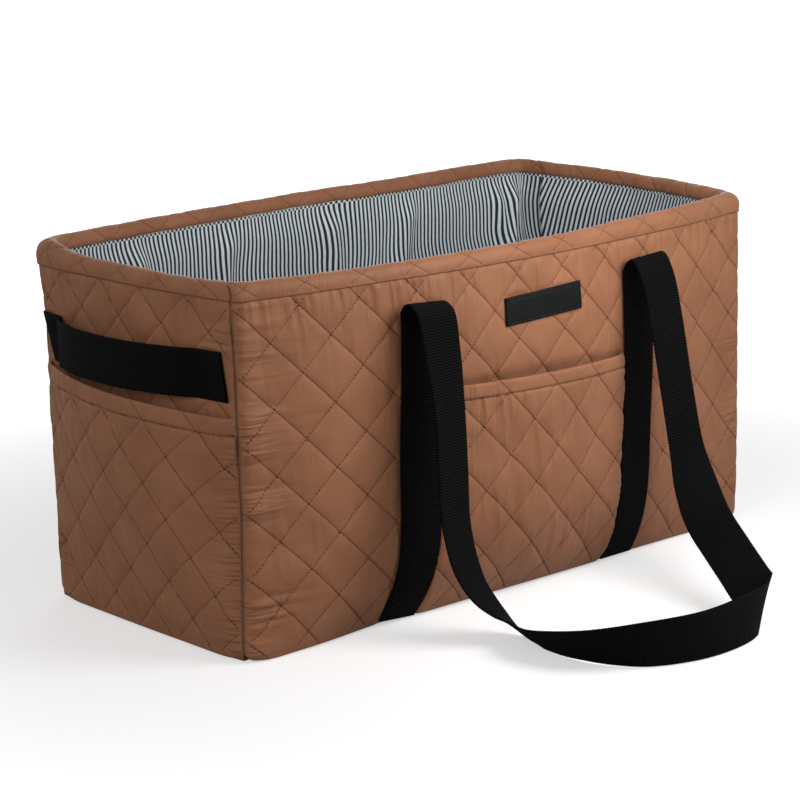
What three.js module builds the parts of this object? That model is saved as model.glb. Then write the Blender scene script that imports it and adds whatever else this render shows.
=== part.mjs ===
// A large quilted carry-all bag with webbing handles, end pockets and a striped lining.
// Millimetres, +Z up. The origin is the middle of the flat base, on the ground.
// The front, with its label and patch pocket, faces -Y. The ends face -X and +X.
import * as THREE from 'three';

// Bag body
const LENGTH = 555;              // base, corner to corner along X
const DEPTH = 250;               // base, corner to corner along Y
const SEAM_Z = 279;              // height of the seam under the rim roll
const CORNER_CUT = 16;           // rounding of an upright corner, measured back from its point
const FRONT_RIM_BOW = 30;        // how far the middle of the front wall swells out at the rim
const BACK_RIM_BOW = 12;
const END_RIM_BOW = 10;
const LONG_BELLY = 6;            // extra swell of the long walls at half height
const END_BELLY = 3;

// Layers of a wall, from outside to inside
const QUILT_T = 5;               // quilted shell
const FOAM_T = 3;                // foam stiffener
const LINING_T = 1;              // striped lining
const SEWN_GAP = 0.3;            // clearance between pieces that are sewn edge to edge or nested
const LAID_GAP = 0.7;            // clearance under a piece that is laid on a swelling wall

// Base
const BASE_T = 3;                // quilted base panel
const BOARD_T = 4;               // stiff base insert

// Rim roll, folded over the top of the walls
const RIM_HEIGHT = 19;           // above the seam
const RIM_PROUD = 2.6;           // how far the roll stands out past the shell
const RIM_INNER_T = 3.4;         // roll on the inside of the foam
const RIM_TONGUE = 11;           // length of foam held inside the roll
const RIM_INNER_LIFT = 7;        // the inner edge of the roll ends this far above the seam
const RIM_SHOULDER = 2.3;        // drop from the crown to the rounded shoulders
const RIM_WAIST = 7;             // drop from the crown to the upright sides

// Webbing
const WEB_W = 38;
const WEB_T = 2;

// Carrying handles: each is sewn up the wall in two legs, then folds over and hangs free
const STRAP_FOOT_X = 127;        // middle of a leg at the base
const STRAP_TOP_X = 118;         // middle of a leg at the fold
const STRAP_LEAN_Z = 150;        // height at which a leg stops leaning in
const STRAP_DROP = 27;           // top of the sewn leg below the rim seam
const FOLD_R = 10;               // half the width of the arch that the webbing makes at the fold
const FOLD_CLEAR = 0.4;          // clearance of the fold from the sewn leg
const HANDLE_RUN = 187;          // from the fold out to the far end of the lying loop
const GROUND_GAP = 3;            // the lying edge of the webbing above the ground

// Front patch pocket
const POCKET_T = 3;
const POCKET_DROP = 92;          // bound edge below the rim seam
const POCKET_BINDING_H = 11;
const POCKET_BINDING_T = 4;
const POCKET_GAPE = 10;          // how far the mouth stands off the wall
const POCKET_SIDE_GAP = 0.6;     // side clearance to the sewn legs

// Label patch
const LABEL_W = 84;
const LABEL_H = 23;
const LABEL_T = 1.6;
const LABEL_DROP = 27;           // top of the label below the rim seam
const LABEL_X = 9;

// End pockets
const END_POCKET_DROP = 84;
const END_HEM_H = 14;            // gathered hem, folded over an elastic band
const END_HEM_T = 5;
const HEM_WALL = 1.5;            // cloth on each side of the elastic
const END_POCKET_GAPE = 12;

// Grab handles on the ends
const GRAB_INSET = 8;            // the webbing ends this far from the corner's point
const GRAB_TAB = 25;             // sewn length at each end
const GRAB_DROP = 39;            // top edge below the rim seam
const GRAB_STAND_OFF = 15;       // finger room behind the middle of the handle

// Sampling of the soft shapes
const WALL_SHARES = [0, 0.09, 0.2, 0.36, 0.58, 0.8, 1];
const LONG_STEPS = 8;
const END_STEPS = 6;
const CORNER_STEPS = 3;
const STRIP_STEPS = 2;           // across a strip of webbing that is sewn on
const LABEL_STEPS = 4;
const GRAB_STEPS = 12;           // along the free span of a grab handle
const RIBBON_STEPS = 2;          // between two points of a handle's route
const ARCH_SHARES = [0, 0.25, 0.5, 0.75];  // of the half turn at a handle's fold
const BELLY_POWER = 3;           // how quickly a wall swells above its straight foot

const WALL_FOOT = BASE_T + SEWN_GAP;
const BASE_LINING_Z = WALL_FOOT + BOARD_T + SEWN_GAP;
const LINING_FOOT = BASE_LINING_Z + LINING_T + SEWN_GAP;
const TOP_Z = SEAM_Z + RIM_HEIGHT;
const STRAP_TOP_Z = SEAM_Z - STRAP_DROP;
const FOLD_Z = STRAP_TOP_Z;

// The four walls in the order of a walk round the bag, each turned a quarter turn from the last
const WALLS = [
  { half: LENGTH / 2, reach: DEPTH / 2, rimBow: FRONT_RIM_BOW, belly: LONG_BELLY, cut: CORNER_CUT },
  { half: DEPTH / 2, reach: LENGTH / 2, rimBow: END_RIM_BOW, belly: END_BELLY, cut: CORNER_CUT },
  { half: LENGTH / 2, reach: DEPTH / 2, rimBow: BACK_RIM_BOW, belly: LONG_BELLY, cut: CORNER_CUT },
  { half: DEPTH / 2, reach: LENGTH / 2, rimBow: END_RIM_BOW, belly: END_BELLY, cut: CORNER_CUT },
];
const [FRONT, RIGHT, BACK, LEFT] = WALLS.keys();

// How far a wall's outer face lies from the middle of the bag, at s along the wall and height z
function wallReach(wall, s, z) {
  const rise = THREE.MathUtils.clamp(z / SEAM_Z, 0, 1);
  const bow = wall.rimBow * (1 - (1 - rise) ** BELLY_POWER) + wall.belly * 4 * rise * (1 - rise);
  return wall.reach + bow * (1 - (s / wall.half) ** 2);
}

// A point on wall number k, seen from above
function wallPoint(k, s, z) {
  const local = new THREE.Vector2(s, -wallReach(WALLS[k], s, z));
  return local.rotateAround(new THREE.Vector2(), k * Math.PI / 2);
}

// A rounded upright corner between wall k and the next one, from seam to seam
function cornerPoints(k, z) {
  const next = (k + 1) % WALLS.length;
  const start = wallPoint(k, WALLS[k].half - WALLS[k].cut, z);
  const tip = wallPoint(k, WALLS[k].half, z);
  const end = wallPoint(next, WALLS[next].cut - WALLS[next].half, z);
  return new THREE.QuadraticBezierCurve(start, tip, end).getPoints(CORNER_STEPS);
}

// The points of wall k between its two corners
function spanPoints(k, z, steps) {
  const edge = WALLS[k].half - WALLS[k].cut;
  return Array.from({ length: steps + 1 }, (_, i) => wallPoint(k, edge * (2 * i / steps - 1), z));
}

// The closed outline of the bag at height z, from the front left seam and round past the front
function outline(z) {
  const loop = [];
  const join = (points) => loop.push(...points.slice(0, -1));
  join(cornerPoints(LEFT, z));
  join(spanPoints(FRONT, z, LONG_STEPS));
  join(cornerPoints(FRONT, z));
  join(spanPoints(RIGHT, z, END_STEPS));
  join(cornerPoints(RIGHT, z));
  join(spanPoints(BACK, z, LONG_STEPS));
  join(cornerPoints(BACK, z));
  join(spanPoints(LEFT, z, END_STEPS));
  return loop;
}
const LONG_COLUMNS = LONG_STEPS + 2 * CORNER_STEPS;
const FIRST_COLUMN = [0, LONG_COLUMNS, LONG_COLUMNS + END_STEPS, 2 * LONG_COLUMNS + END_STEPS];
const COLUMN_COUNT = [LONG_COLUMNS, END_STEPS, LONG_COLUMNS, END_STEPS];

// Outline point i with its walking direction and outward normal
function outlineFrame(loop, i) {
  const count = loop.length;
  const before = loop[(i + count - 1) % count];
  const after = loop[(i + 1) % count];
  const along = after.clone().sub(before).normalize();
  return { at: loop[i % count], along, out: new THREE.Vector2(along.y, -along.x) };
}

function lift(point, z) {
  return new THREE.Vector3(point.x, point.y, z);
}

// Heights at which a piece on a wall is sampled, shared so that layers nest
function levels(low, high) {
  const shared = WALL_SHARES.map((share) => LINING_FOOT + share * (SEAM_Z - LINING_FOOT));
  return [low, ...shared.filter((z) => z > low + SEWN_GAP && z < high - SEWN_GAP), high];
}

function solidFrom(points, triangles) {
  const geometry = new THREE.BufferGeometry().setFromPoints(points);
  geometry.setIndex(triangles);
  geometry.computeVertexNormals();
  return geometry;
}

// A closed slab between an outer and an inner grid of points, rows upward and columns rightward
function slab(outer, inner) {
  const rows = outer.length;
  const columns = outer[0].length;
  const layer = rows * columns;
  const at = (r, c) => r * columns + c;
  const triangles = [];
  const quad = (a, b, c, d) => triangles.push(a, b, c, a, c, d);
  for (let r = 0; r + 1 < rows; r += 1) {
    for (let c = 0; c + 1 < columns; c += 1) {
      const [a, b, d, e] = [at(r, c), at(r, c + 1), at(r + 1, c + 1), at(r + 1, c)];
      quad(a, b, d, e);
      quad(layer + a, layer + e, layer + d, layer + b);
    }
    const [low, high] = [at(r, 0), at(r + 1, 0)];
    quad(layer + low, low, high, layer + high);
    const [lowEnd, highEnd] = [at(r, columns - 1), at(r + 1, columns - 1)];
    quad(lowEnd, layer + lowEnd, layer + highEnd, highEnd);
  }
  for (let c = 0; c + 1 < columns; c += 1) {
    quad(layer + at(0, c), layer + at(0, c + 1), at(0, c + 1), at(0, c));
    quad(at(rows - 1, c), at(rows - 1, c + 1), layer + at(rows - 1, c + 1), layer + at(rows - 1, c));
  }
  return solidFrom([...outer.flat(), ...inner.flat()], triangles);
}

// A solid drawn through equal sections, closed into a ring or capped by the triangles given
function loft(sections, caps) {
  const size = sections[0].length;
  const triangles = [];
  const spans = caps ? sections.length - 1 : sections.length;
  for (let i = 0; i < spans; i += 1) {
    const here = i * size;
    const next = ((i + 1) % sections.length) * size;
    for (let k = 0; k < size; k += 1) {
      const m = (k + 1) % size;
      triangles.push(here + k, next + k, next + m, here + k, next + m, here + m);
    }
  }
  const last = (sections.length - 1) * size;
  for (const [a, b, c] of caps ?? []) {
    triangles.push(a, b, c, last + a, last + c, last + b);
  }
  return solidFrom(sections.flat(), triangles);
}

// One layer of wall k, between two depths behind the outer face
function wallLayer(k, low, high, faceDepth, backDepth) {
  const first = FIRST_COLUMN[k];
  const count = COLUMN_COUNT[k];
  const grid = (depth) => levels(low, high).map((z) => {
    const loop = outline(z);
    return Array.from({ length: count + 1 }, (_, c) => {
      const { at, along, out } = outlineFrame(loop, first + c);
      const trim = c === 0 ? SEWN_GAP / 2 : c === count ? -SEWN_GAP / 2 : 0;
      return lift(at.clone().addScaledVector(along, trim).addScaledVector(out, -depth), z);
    });
  });
  return slab(grid(faceDepth), grid(backDepth));
}

// A flat plate with the bag's base outline, drawn in by a margin
function basePlate(inset, low, thickness) {
  const loop = outline(0);
  const edge = loop.map((_, i) => {
    const { at, out } = outlineFrame(loop, i);
    return at.clone().addScaledVector(out, -inset);
  });
  const plate = new THREE.ExtrudeGeometry(new THREE.Shape(edge), { depth: thickness, bevelEnabled: false });
  return plate.translate(0, 0, low);
}

// A piece laid on wall k: columns along s, rows up z, standing off the outer face
function wallPatch(k, low, high, edges, steps, standOff, thickness) {
  const wall = WALLS[k];
  const grid = (extra) => levels(low, high).map((z) => {
    const [from, to] = edges(z);
    return Array.from({ length: steps + 1 }, (_, c) => {
      const s = from + (to - from) * c / steps;
      return new THREE.Vector3(s, -wallReach(wall, s, z) - standOff(s, z) - extra, z);
    });
  });
  return slab(grid(thickness), grid(0));
}

// The mouth of a pocket stands off the wall most in the middle of its top edge
function gape(amount, half, top) {
  return (s, z) => LAID_GAP + amount * (1 - (s / half(z)) ** 2) * (z - WALL_FOOT) / (top - WALL_FOOT);
}

const sewnOn = () => LAID_GAP;

// The rim roll's section: depth behind the outer face, and height. The foam's tongue sits in its slot.
function rimSection() {
  const inner = QUILT_T + SEWN_GAP + FOAM_T + RIM_INNER_T;
  const slotFace = QUILT_T;
  const slotBack = QUILT_T + FOAM_T + 2 * SEWN_GAP;
  const slotTop = SEAM_Z + RIM_TONGUE + SEWN_GAP;
  const innerFoot = SEAM_Z + RIM_INNER_LIFT;
  const shoulder = TOP_Z - RIM_SHOULDER;
  const waist = TOP_Z - RIM_WAIST;
  return [
    [-RIM_PROUD / 2, SEAM_Z],
    [-RIM_PROUD, (SEAM_Z + waist) / 2],
    [-RIM_PROUD, waist],
    [0, shoulder],
    [inner / 2, TOP_Z],
    [inner - RIM_SHOULDER, shoulder],
    [inner, waist],
    [inner, innerFoot],
    [slotBack, innerFoot],
    [slotBack, slotTop],
    [slotFace, slotTop],
    [slotFace, SEAM_Z],
  ];
}

function rimRoll() {
  const loop = outline(SEAM_Z);
  const section = rimSection();
  const rings = loop.map((_, i) => {
    const { at, out } = outlineFrame(loop, i);
    return section.map(([depth, z]) => lift(at.clone().addScaledVector(out, -depth), z));
  });
  return loft(rings);
}

// Middle of a sewn leg at height z
function strapX(z) {
  const lean = Math.min(z / STRAP_LEAN_Z, 1);
  return STRAP_FOOT_X + (STRAP_TOP_X - STRAP_FOOT_X) * lean;
}

function strapLeg(k, side) {
  const edges = (z) => [side * strapX(z) - WEB_W / 2, side * strapX(z) + WEB_W / 2];
  return wallPatch(k, WALL_FOOT, STRAP_TOP_Z, edges, STRIP_STEPS, sewnOn, WEB_T);
}

// Distance of a handle's fold axis from the middle of the bag: the arch just clears the sewn leg
function foldReach(k) {
  const legFace = wallReach(WALLS[k], STRAP_TOP_X - WEB_W / 2, FOLD_Z) + LAID_GAP + WEB_T;
  return legFace + FOLD_CLEAR + WEB_T / 2 + FOLD_R;
}

// Route of the free webbing: its middle as a share of the leg spacing, its distance out from the
// fold as a share of the run, its height as shares of the fold height and of half the webbing width,
// and the direction across the webbing. It hangs, lands, turns on its edge, doubles back and climbs.
const HANDLE_ROUTE = [
  { x: -1, out: 0, hang: 1, lie: 0, across: [1, 0, 0] },
  { x: -1, out: 0.02, hang: 0.886, lie: 0, across: [1, 0, 0] },
  { x: -1.01, out: 0.06, hang: 0.689, lie: 0, across: [1, 0, -0.05] },
  { x: -1.03, out: 0.08, hang: 0.512, lie: 0, across: [1, 0, -0.1] },
  { x: -1.05, out: 0.1, hang: 0.362, lie: 0, across: [1, 0.02, -0.15] },
  { x: -1.03, out: 0.14, hang: 0.236, lie: 0, across: [1, 0.1, -0.2] },
  { x: -0.97, out: 0.17, hang: 0.15, lie: 0, across: [1, 0.15, -0.25] },
  { x: -0.89, out: 0.2, hang: 0, lie: 1.25, across: [1, 0.3, -0.35] },
  { x: -0.8, out: 0.26, hang: 0, lie: 0.55, across: [23, 24, -11] },
  { x: -0.94, out: 0.51, hang: 0, lie: 0.72, across: [29, 3, -24] },
  { x: -0.89, out: 0.72, hang: 0, lie: 0.88, across: [22, 7, -30] },
  { x: -0.8, out: 0.82, hang: 0, lie: 0.95, across: [16, 7, -34] },
  { x: -0.61, out: 0.93, hang: 0, lie: 1, across: [5, 4, -37] },
  { x: -0.27, out: 1, hang: 0, lie: 1, across: [0, 0, -1] },
  { x: 0.05, out: 1, hang: 0, lie: 1, across: [-0.1, -0.1, -1] },
  { x: 0.34, out: 0.96, hang: 0, lie: 1, across: [-0.25, -0.1, -1] },
  { x: 0.48, out: 0.91, hang: 0, lie: 1.05, across: [-0.5, -0.1, -0.85] },
  { x: 0.59, out: 0.77, hang: 0.134, lie: 0, across: [-0.75, 0.4, -0.45] },
  { x: 0.68, out: 0.61, hang: 0.189, lie: 0, across: [-0.75, 0.53, -0.4] },
  { x: 0.78, out: 0.45, hang: 0.248, lie: 0, across: [-0.75, 0.5, -0.42] },
  { x: 0.9, out: 0.32, hang: 0.311, lie: 0, across: [-0.9, 0.25, -0.25] },
  { x: 1.02, out: 0.19, hang: 0.409, lie: 0, across: [-1, 0, 0] },
  { x: 1.01, out: 0.12, hang: 0.63, lie: 0, across: [-1, 0, 0] },
  { x: 1, out: 0.05, hang: 0.846, lie: 0, across: [-1, 0, 0] },
  { x: 1, out: 0, hang: 1, lie: 0, across: [-1, 0, 0] },
];

// A flat ribbon through middle points, each with a direction across the webbing
function ribbon(middles, acrosses, steps) {
  const path = new THREE.CatmullRomCurve3(middles);
  const turn = new THREE.CatmullRomCurve3(acrosses, false, 'catmullrom');
  const count = (middles.length - 1) * steps;
  const sections = [];
  for (let i = 0; i <= count; i += 1) {
    const t = i / count;
    const along = path.getTangent(t);
    const across = turn.getPoint(t);
    across.addScaledVector(along, -across.dot(along)).setLength(WEB_W / 2);
    const thick = new THREE.Vector3().crossVectors(along, across).setLength(WEB_T / 2);
    const corner = (a, b) => path.getPoint(t).addScaledVector(across, a).addScaledVector(thick, b);
    sections.push([corner(-1, 1), corner(1, 1), corner(1, -1), corner(-1, -1)]);
  }
  return loft(sections, [[0, 1, 2], [0, 2, 3]]);
}

function handleLoop(k) {
  const axis = foldReach(k);
  const lieZ = (share) => share * WEB_W / 2 + (share > 0 ? GROUND_GAP : 0);
  const arch = (side) => ARCH_SHARES.map((share) => {
    const turn = share * Math.PI;
    const y = FOLD_R * Math.cos(turn) - axis;
    return new THREE.Vector3(side * STRAP_TOP_X, y, FOLD_Z + FOLD_R * Math.sin(turn));
  });
  const level = (side) => ARCH_SHARES.map(() => new THREE.Vector3(-side, 0, 0));
  const route = HANDLE_ROUTE.map(({ x, out, hang, lie }) => (
    new THREE.Vector3(x * STRAP_TOP_X, -axis - FOLD_R - out * HANDLE_RUN, hang * FOLD_Z + lieZ(lie))));
  const turns = HANDLE_ROUTE.map(({ across }) => new THREE.Vector3(...across).normalize());
  const middles = [...arch(-1), ...route, ...arch(1).reverse()];
  const acrosses = [...level(-1), ...turns, ...level(1)];
  return ribbon(middles, acrosses, RIBBON_STEPS);
}

// Half the width of an end pocket, from the middle of the end to the corner seam
const END_POCKET_HALF = DEPTH / 2 - CORNER_CUT - SEWN_GAP;
const GRAB_TOP_Z = SEAM_Z - GRAB_DROP;
const GRAB_HALF = DEPTH / 2 - GRAB_INSET;
const GRAB_SPAN_HALF = GRAB_HALF - GRAB_TAB - SEWN_GAP;

function grabTab(k, side) {
  const inner = GRAB_HALF - GRAB_TAB;
  const edges = () => (side < 0 ? [-GRAB_HALF, -inner] : [inner, GRAB_HALF]);
  return wallPatch(k, GRAB_TOP_Z - WEB_W, GRAB_TOP_Z, edges, STRIP_STEPS, sewnOn, WEB_T);
}

function grabSpan(k) {
  const edges = () => [-GRAB_SPAN_HALF, GRAB_SPAN_HALF];
  const bowed = (s) => LAID_GAP + GRAB_STAND_OFF * (1 - (s / GRAB_SPAN_HALF) ** 2);
  return wallPatch(k, GRAB_TOP_Z - WEB_W, GRAB_TOP_Z, edges, GRAB_STEPS, bowed, WEB_T);
}

// Finishes
const FINISHES = {
  quilt: { color: 0x9a6a4c, roughness: 0.55, metalness: 0 },
  foam: { color: 0xe8e6df, roughness: 0.9, metalness: 0 },
  lining: { color: 0xc9ccd0, roughness: 0.8, metalness: 0 },
  board: { color: 0x4a4a4a, roughness: 0.7, metalness: 0 },
  elastic: { color: 0xf2f0ea, roughness: 0.8, metalness: 0 },
  webbing: { color: 0x121214, roughness: 0.75, metalness: 0 },
  leather: { color: 0x1b1b1d, roughness: 0.5, metalness: 0 },
};

function piece(name, geometry, finish) {
  const mesh = new THREE.Mesh(geometry, new THREE.MeshStandardMaterial(FINISHES[finish]));
  mesh.name = name;
  return mesh;
}

// Pieces of one wall that are built in its own frame and turned into place
function wallGroup(k, pieces) {
  const group = new THREE.Group();
  group.rotation.z = k * Math.PI / 2;
  group.add(...pieces);
  return group;
}

const WALL_NAMES = ['front', 'right_end', 'back', 'left_end'];
const foamFace = QUILT_T + SEWN_GAP;
const liningFace = foamFace + FOAM_T + SEWN_GAP;

function wallLayers(k) {
  const name = WALL_NAMES[k];
  const shell = wallLayer(k, WALL_FOOT, SEAM_Z - SEWN_GAP, 0, QUILT_T);
  const foam = wallLayer(k, WALL_FOOT, SEAM_Z + RIM_TONGUE, foamFace, foamFace + FOAM_T);
  const liningTop = SEAM_Z + RIM_INNER_LIFT - SEWN_GAP;
  const lining = wallLayer(k, LINING_FOOT, liningTop, liningFace, liningFace + LINING_T);
  return [
    piece(`${name}_panel`, shell, 'quilt'),
    piece(`${name}_foam`, foam, 'foam'),
    piece(`${name}_lining`, lining, 'lining'),
  ];
}

function baseLayers() {
  return [
    piece('base_panel', basePlate(0, 0, BASE_T), 'quilt'),
    piece('base_board', basePlate(liningFace, WALL_FOOT, BOARD_T), 'board'),
    piece('base_lining', basePlate(liningFace, BASE_LINING_Z, LINING_T), 'lining'),
  ];
}

// The names of the two legs follow the bag's own left and right, seen from the front
function handleSet(k, name, first, second) {
  return wallGroup(k, [
    piece(`${name}_strap_${first}`, strapLeg(k, -1), 'webbing'),
    piece(`${name}_strap_${second}`, strapLeg(k, 1), 'webbing'),
    piece(`${name}_handle`, handleLoop(k), 'webbing'),
  ]);
}

function frontPocket() {
  const top = SEAM_Z - POCKET_DROP;
  const split = top - POCKET_BINDING_H;
  const half = (z) => strapX(z) - WEB_W / 2 - POCKET_SIDE_GAP;
  const edges = (z) => [-half(z), half(z)];
  const off = gape(POCKET_GAPE, half, top);
  const cloth = wallPatch(FRONT, WALL_FOOT, split - SEWN_GAP, edges, LONG_STEPS, off, POCKET_T);
  const binding = wallPatch(FRONT, split, top, edges, LONG_STEPS, off, POCKET_BINDING_T);
  return [piece('front_pocket', cloth, 'quilt'), piece('front_pocket_binding', binding, 'quilt')];
}

function labelPatch() {
  const top = SEAM_Z - LABEL_DROP;
  const edges = () => [LABEL_X - LABEL_W / 2, LABEL_X + LABEL_W / 2];
  const patch = wallPatch(FRONT, top - LABEL_H, top, edges, LABEL_STEPS, sewnOn, LABEL_T);
  return piece('label_patch', patch, 'leather');
}

// A hem folded over at the top, open along its lower edge, with room for the elastic inside
function foldedHem(k, low, high, off) {
  const slotTop = high - HEM_WALL;
  const slotFace = END_HEM_T - HEM_WALL;
  const section = [
    [0, low],
    [HEM_WALL, low],
    [HEM_WALL, slotTop],
    [slotFace, slotTop],
    [slotFace, low],
    [END_HEM_T, low],
    [END_HEM_T, high],
    [0, high],
  ];
  const rings = Array.from({ length: END_STEPS + 1 }, (_, i) => {
    const s = END_POCKET_HALF * (2 * i / END_STEPS - 1);
    return section.map(([out, z]) => new THREE.Vector3(s, -wallReach(WALLS[k], s, z) - off(s, z) - out, z));
  });
  const contour = section.map(([out, z]) => new THREE.Vector2(out, z));
  return loft(rings, THREE.ShapeUtils.triangulateShape(contour, []));
}

function endSet(k, name, near, far) {
  const top = SEAM_Z - END_POCKET_DROP;
  const split = top - END_HEM_H;
  const edges = () => [-END_POCKET_HALF, END_POCKET_HALF];
  const off = gape(END_POCKET_GAPE, () => END_POCKET_HALF, top);
  const cloth = wallPatch(k, WALL_FOOT, split - SEWN_GAP, edges, END_STEPS, off, POCKET_T);
  const inHem = (s, z) => off(s, z) + HEM_WALL + SEWN_GAP;
  const elasticTop = top - HEM_WALL - SEWN_GAP;
  const elasticT = END_HEM_T - 2 * (HEM_WALL + SEWN_GAP);
  const elastic = wallPatch(k, split + HEM_WALL, elasticTop, edges, END_STEPS, inHem, elasticT);
  return wallGroup(k, [
    piece(`${name}_pocket`, cloth, 'quilt'),
    piece(`${name}_pocket_hem`, foldedHem(k, split, top, off), 'quilt'),
    piece(`${name}_pocket_elastic`, elastic, 'elastic'),
    piece(`${name}_grab_tab_${near}`, grabTab(k, -1), 'webbing'),
    piece(`${name}_grab_tab_${far}`, grabTab(k, 1), 'webbing'),
    piece(`${name}_grab_handle`, grabSpan(k), 'webbing'),
  ]);
}

const bag = new THREE.Group();
bag.add(...baseLayers());
WALLS.forEach((_, k) => bag.add(...wallLayers(k)));
bag.add(piece('rim_roll', rimRoll(), 'quilt'));
bag.add(...frontPocket(), labelPatch());
bag.add(handleSet(FRONT, 'front', 'left', 'right'), handleSet(BACK, 'back', 'right', 'left'));
bag.add(endSet(LEFT, 'left_end', 'back', 'front'), endSet(RIGHT, 'right_end', 'front', 'back'));

export default bag;
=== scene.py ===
import math

import bpy
import numpy as np
from mathutils import Matrix, Vector


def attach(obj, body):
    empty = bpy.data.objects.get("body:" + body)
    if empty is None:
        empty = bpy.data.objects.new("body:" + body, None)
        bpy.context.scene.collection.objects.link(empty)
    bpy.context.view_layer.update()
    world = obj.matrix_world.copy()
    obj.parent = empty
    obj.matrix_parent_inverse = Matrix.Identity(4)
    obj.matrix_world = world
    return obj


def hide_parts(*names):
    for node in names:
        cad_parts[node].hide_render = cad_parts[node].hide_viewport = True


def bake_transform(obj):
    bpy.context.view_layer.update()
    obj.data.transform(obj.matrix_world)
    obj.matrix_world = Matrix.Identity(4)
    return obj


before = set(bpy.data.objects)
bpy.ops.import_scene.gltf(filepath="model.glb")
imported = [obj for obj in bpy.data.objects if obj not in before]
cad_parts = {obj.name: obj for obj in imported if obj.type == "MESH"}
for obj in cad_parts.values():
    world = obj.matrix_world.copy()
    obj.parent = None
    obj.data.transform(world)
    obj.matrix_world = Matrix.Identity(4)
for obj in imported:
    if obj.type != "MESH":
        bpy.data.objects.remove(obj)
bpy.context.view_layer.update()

# All lengths are in millimetres until a mesh is made.
MM = 0.001

# Camera, fitted to the photo
IMAGE_PX = 800
FOCAL_PX = 2593
SENSOR = 36
CAMERA_AZIMUTH = math.radians(-40.852)
CAMERA_ELEVATION = math.radians(13.097)
CAMERA_ROLL = math.radians(-1.425)
CAMERA_DISTANCE = 2194.4
CAMERA_TARGET = Vector((-8.6, 0, 138.8))

# Bag body
LENGTH = 555
DEPTH = 250
SEAM_Z = 279
CORNER_CUT = 18
END_CUT = 4
INNER_CUT = 14
FRONT_RIM_BOW = 30
BACK_RIM_BOW = 12
END_RIM_BOW = 10
LONG_BELLY = 6
END_BELLY = 3
SHELL_T = 5
FOOT_R = 3
CORNER_FOOT_R = 10
CORNER_FOOT_REACH = 16
SAG = 1.4
SAG_SIZE = 105
SAG_SHIFT = 7
SAG_SEED = 40

# Where the soft walls in the photo leave their even bow. ALONG and UP say between which places
# along and up a wall a form grows to its full size.
TUCK = 10
TUCK_TOP = 150
TOE = np.array([(0, 8), (100, 8), (170, 7), (288, 3.6)])
TOE_ALONG = (130, 225)
SEAM_SLIDE = np.array([(0, 0), (58, 3.4), (115, 6), (170, 5.6), (288, 2.6)])
SLIDE_ALONG = (40, 118)
HEIGHT_EASE = 12
EAR = 5
EAR_ALONG = (20, 110)
EAR_UP = (225, 285)
BACK_CORNER = 11
BACK_CORNER_UP = (110, 285)
BACK_CORNER_ON_END = (0, 110)
BACK_CORNER_ON_BACK = (110, 255)

# Quilting: width and height of its diamonds, and how its lines groove the cloth and wobble
DIAMOND = (50.5, 51)
END_DIAMOND = (52, 49)
POCKET_DIAMOND = (50.3, 52)
END_POCKET_DIAMOND = (50.5, 52.4)
GROOVE_WIDTH = 1.7
WOBBLE = 0.03
WOBBLE_SIZE = 60
WOBBLE_SHIFT = 5
RIDGE_SHARP = 2.4
LINE_STEP = 1.5

# Panels: where they start and end, their rows of points round the bottom edge,
# and how far the quilting thread stays from their edges and from what covers them
FOOT_ROWS = np.array([0.2, 0.6, 1.1, 1.8, 2.8, 4.2, 5.6, 7.2])
FOOT_ROWS_TOP = 9
PANEL_LOW = 0.2
PANEL_TOP = SEAM_Z - 0.3
POCKET_LOW = 0.6
SEAM_GAP = 0.1
SHOWN_BELOW = 0.3
THREAD_INSET = 3
PANEL_THREAD_LOW = 6
POCKET_THREAD_LOW = 5
POCKET_THREAD_INSET = 2
POCKET_THREAD_REACH = 108

# Relief of the panels: lower at the foot, beside a seam and on the seam itself,
# with seam puckers that come in bundles and are calm on one side of each wall
GATHER_LEAN = 0.08
FIRM_FROM = 18
FLAT_SHARE = 0.65
FLAT_REACH = 18
SEWN_FLAT = 6
CALM_SHARE = 0.8
CALM_ALONG = 60
BUNDLE_WIDTH = 200
BUNDLE_HEIGHT = 21

# How softly the relief ends under webbing, pockets and label, and the painted shade along a seam
COVER_INSIDE = 1.5
COVER_OUTSIDE = 3.5
POCKET_COVER = 0.75
PAINTED_SEAM_SHADE = 0.85
PAINTED_SEAM_SHADE_WIDTH = 0.45

# Stitches: how deep their ends sit, how high their middles stand, and the shares that bound the middle
STITCH_SINK = -0.3
STITCH_RISE = 0.5
STITCH_SHARES = (0.25, 0.75)

# Quilted base, whose outer face lies at BASE_Z before it swells
BASE_INSET = 3
BASE_R = 26
BASE_Z = 1.6
BASE_T = 1.2

# Layers behind the outer face
FOAM_DEPTH = 5.4
FOAM_T = 2.8
FOAM_TOP = 289
LINING_DEPTH = 9.6
LINING_T = 0.9
LINING_LOW = 9.2
LINING_TOP = 285.6
LINING_HEM = 1.8
STRIPE_PITCH = 4.45
STRIPE_LEAN = 0.4
BASE_LINING_Z = 8.6
BASE_LINING_INSET = 10.5
BASE_LINING_GAP = 0.4

# Folds of the back lining: place along the wall at the top, lean, width and height
BACK_FOLDS = (
    (-243, 0.1, 7, 12),
    (-222, -0.12, 6, 7),
    (-118, 0.22, 9, 6),
    (-20, -0.2, 10, 5),
    (86, 0.16, 9, 5),
    (190, -0.14, 9, 6),
)

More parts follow.
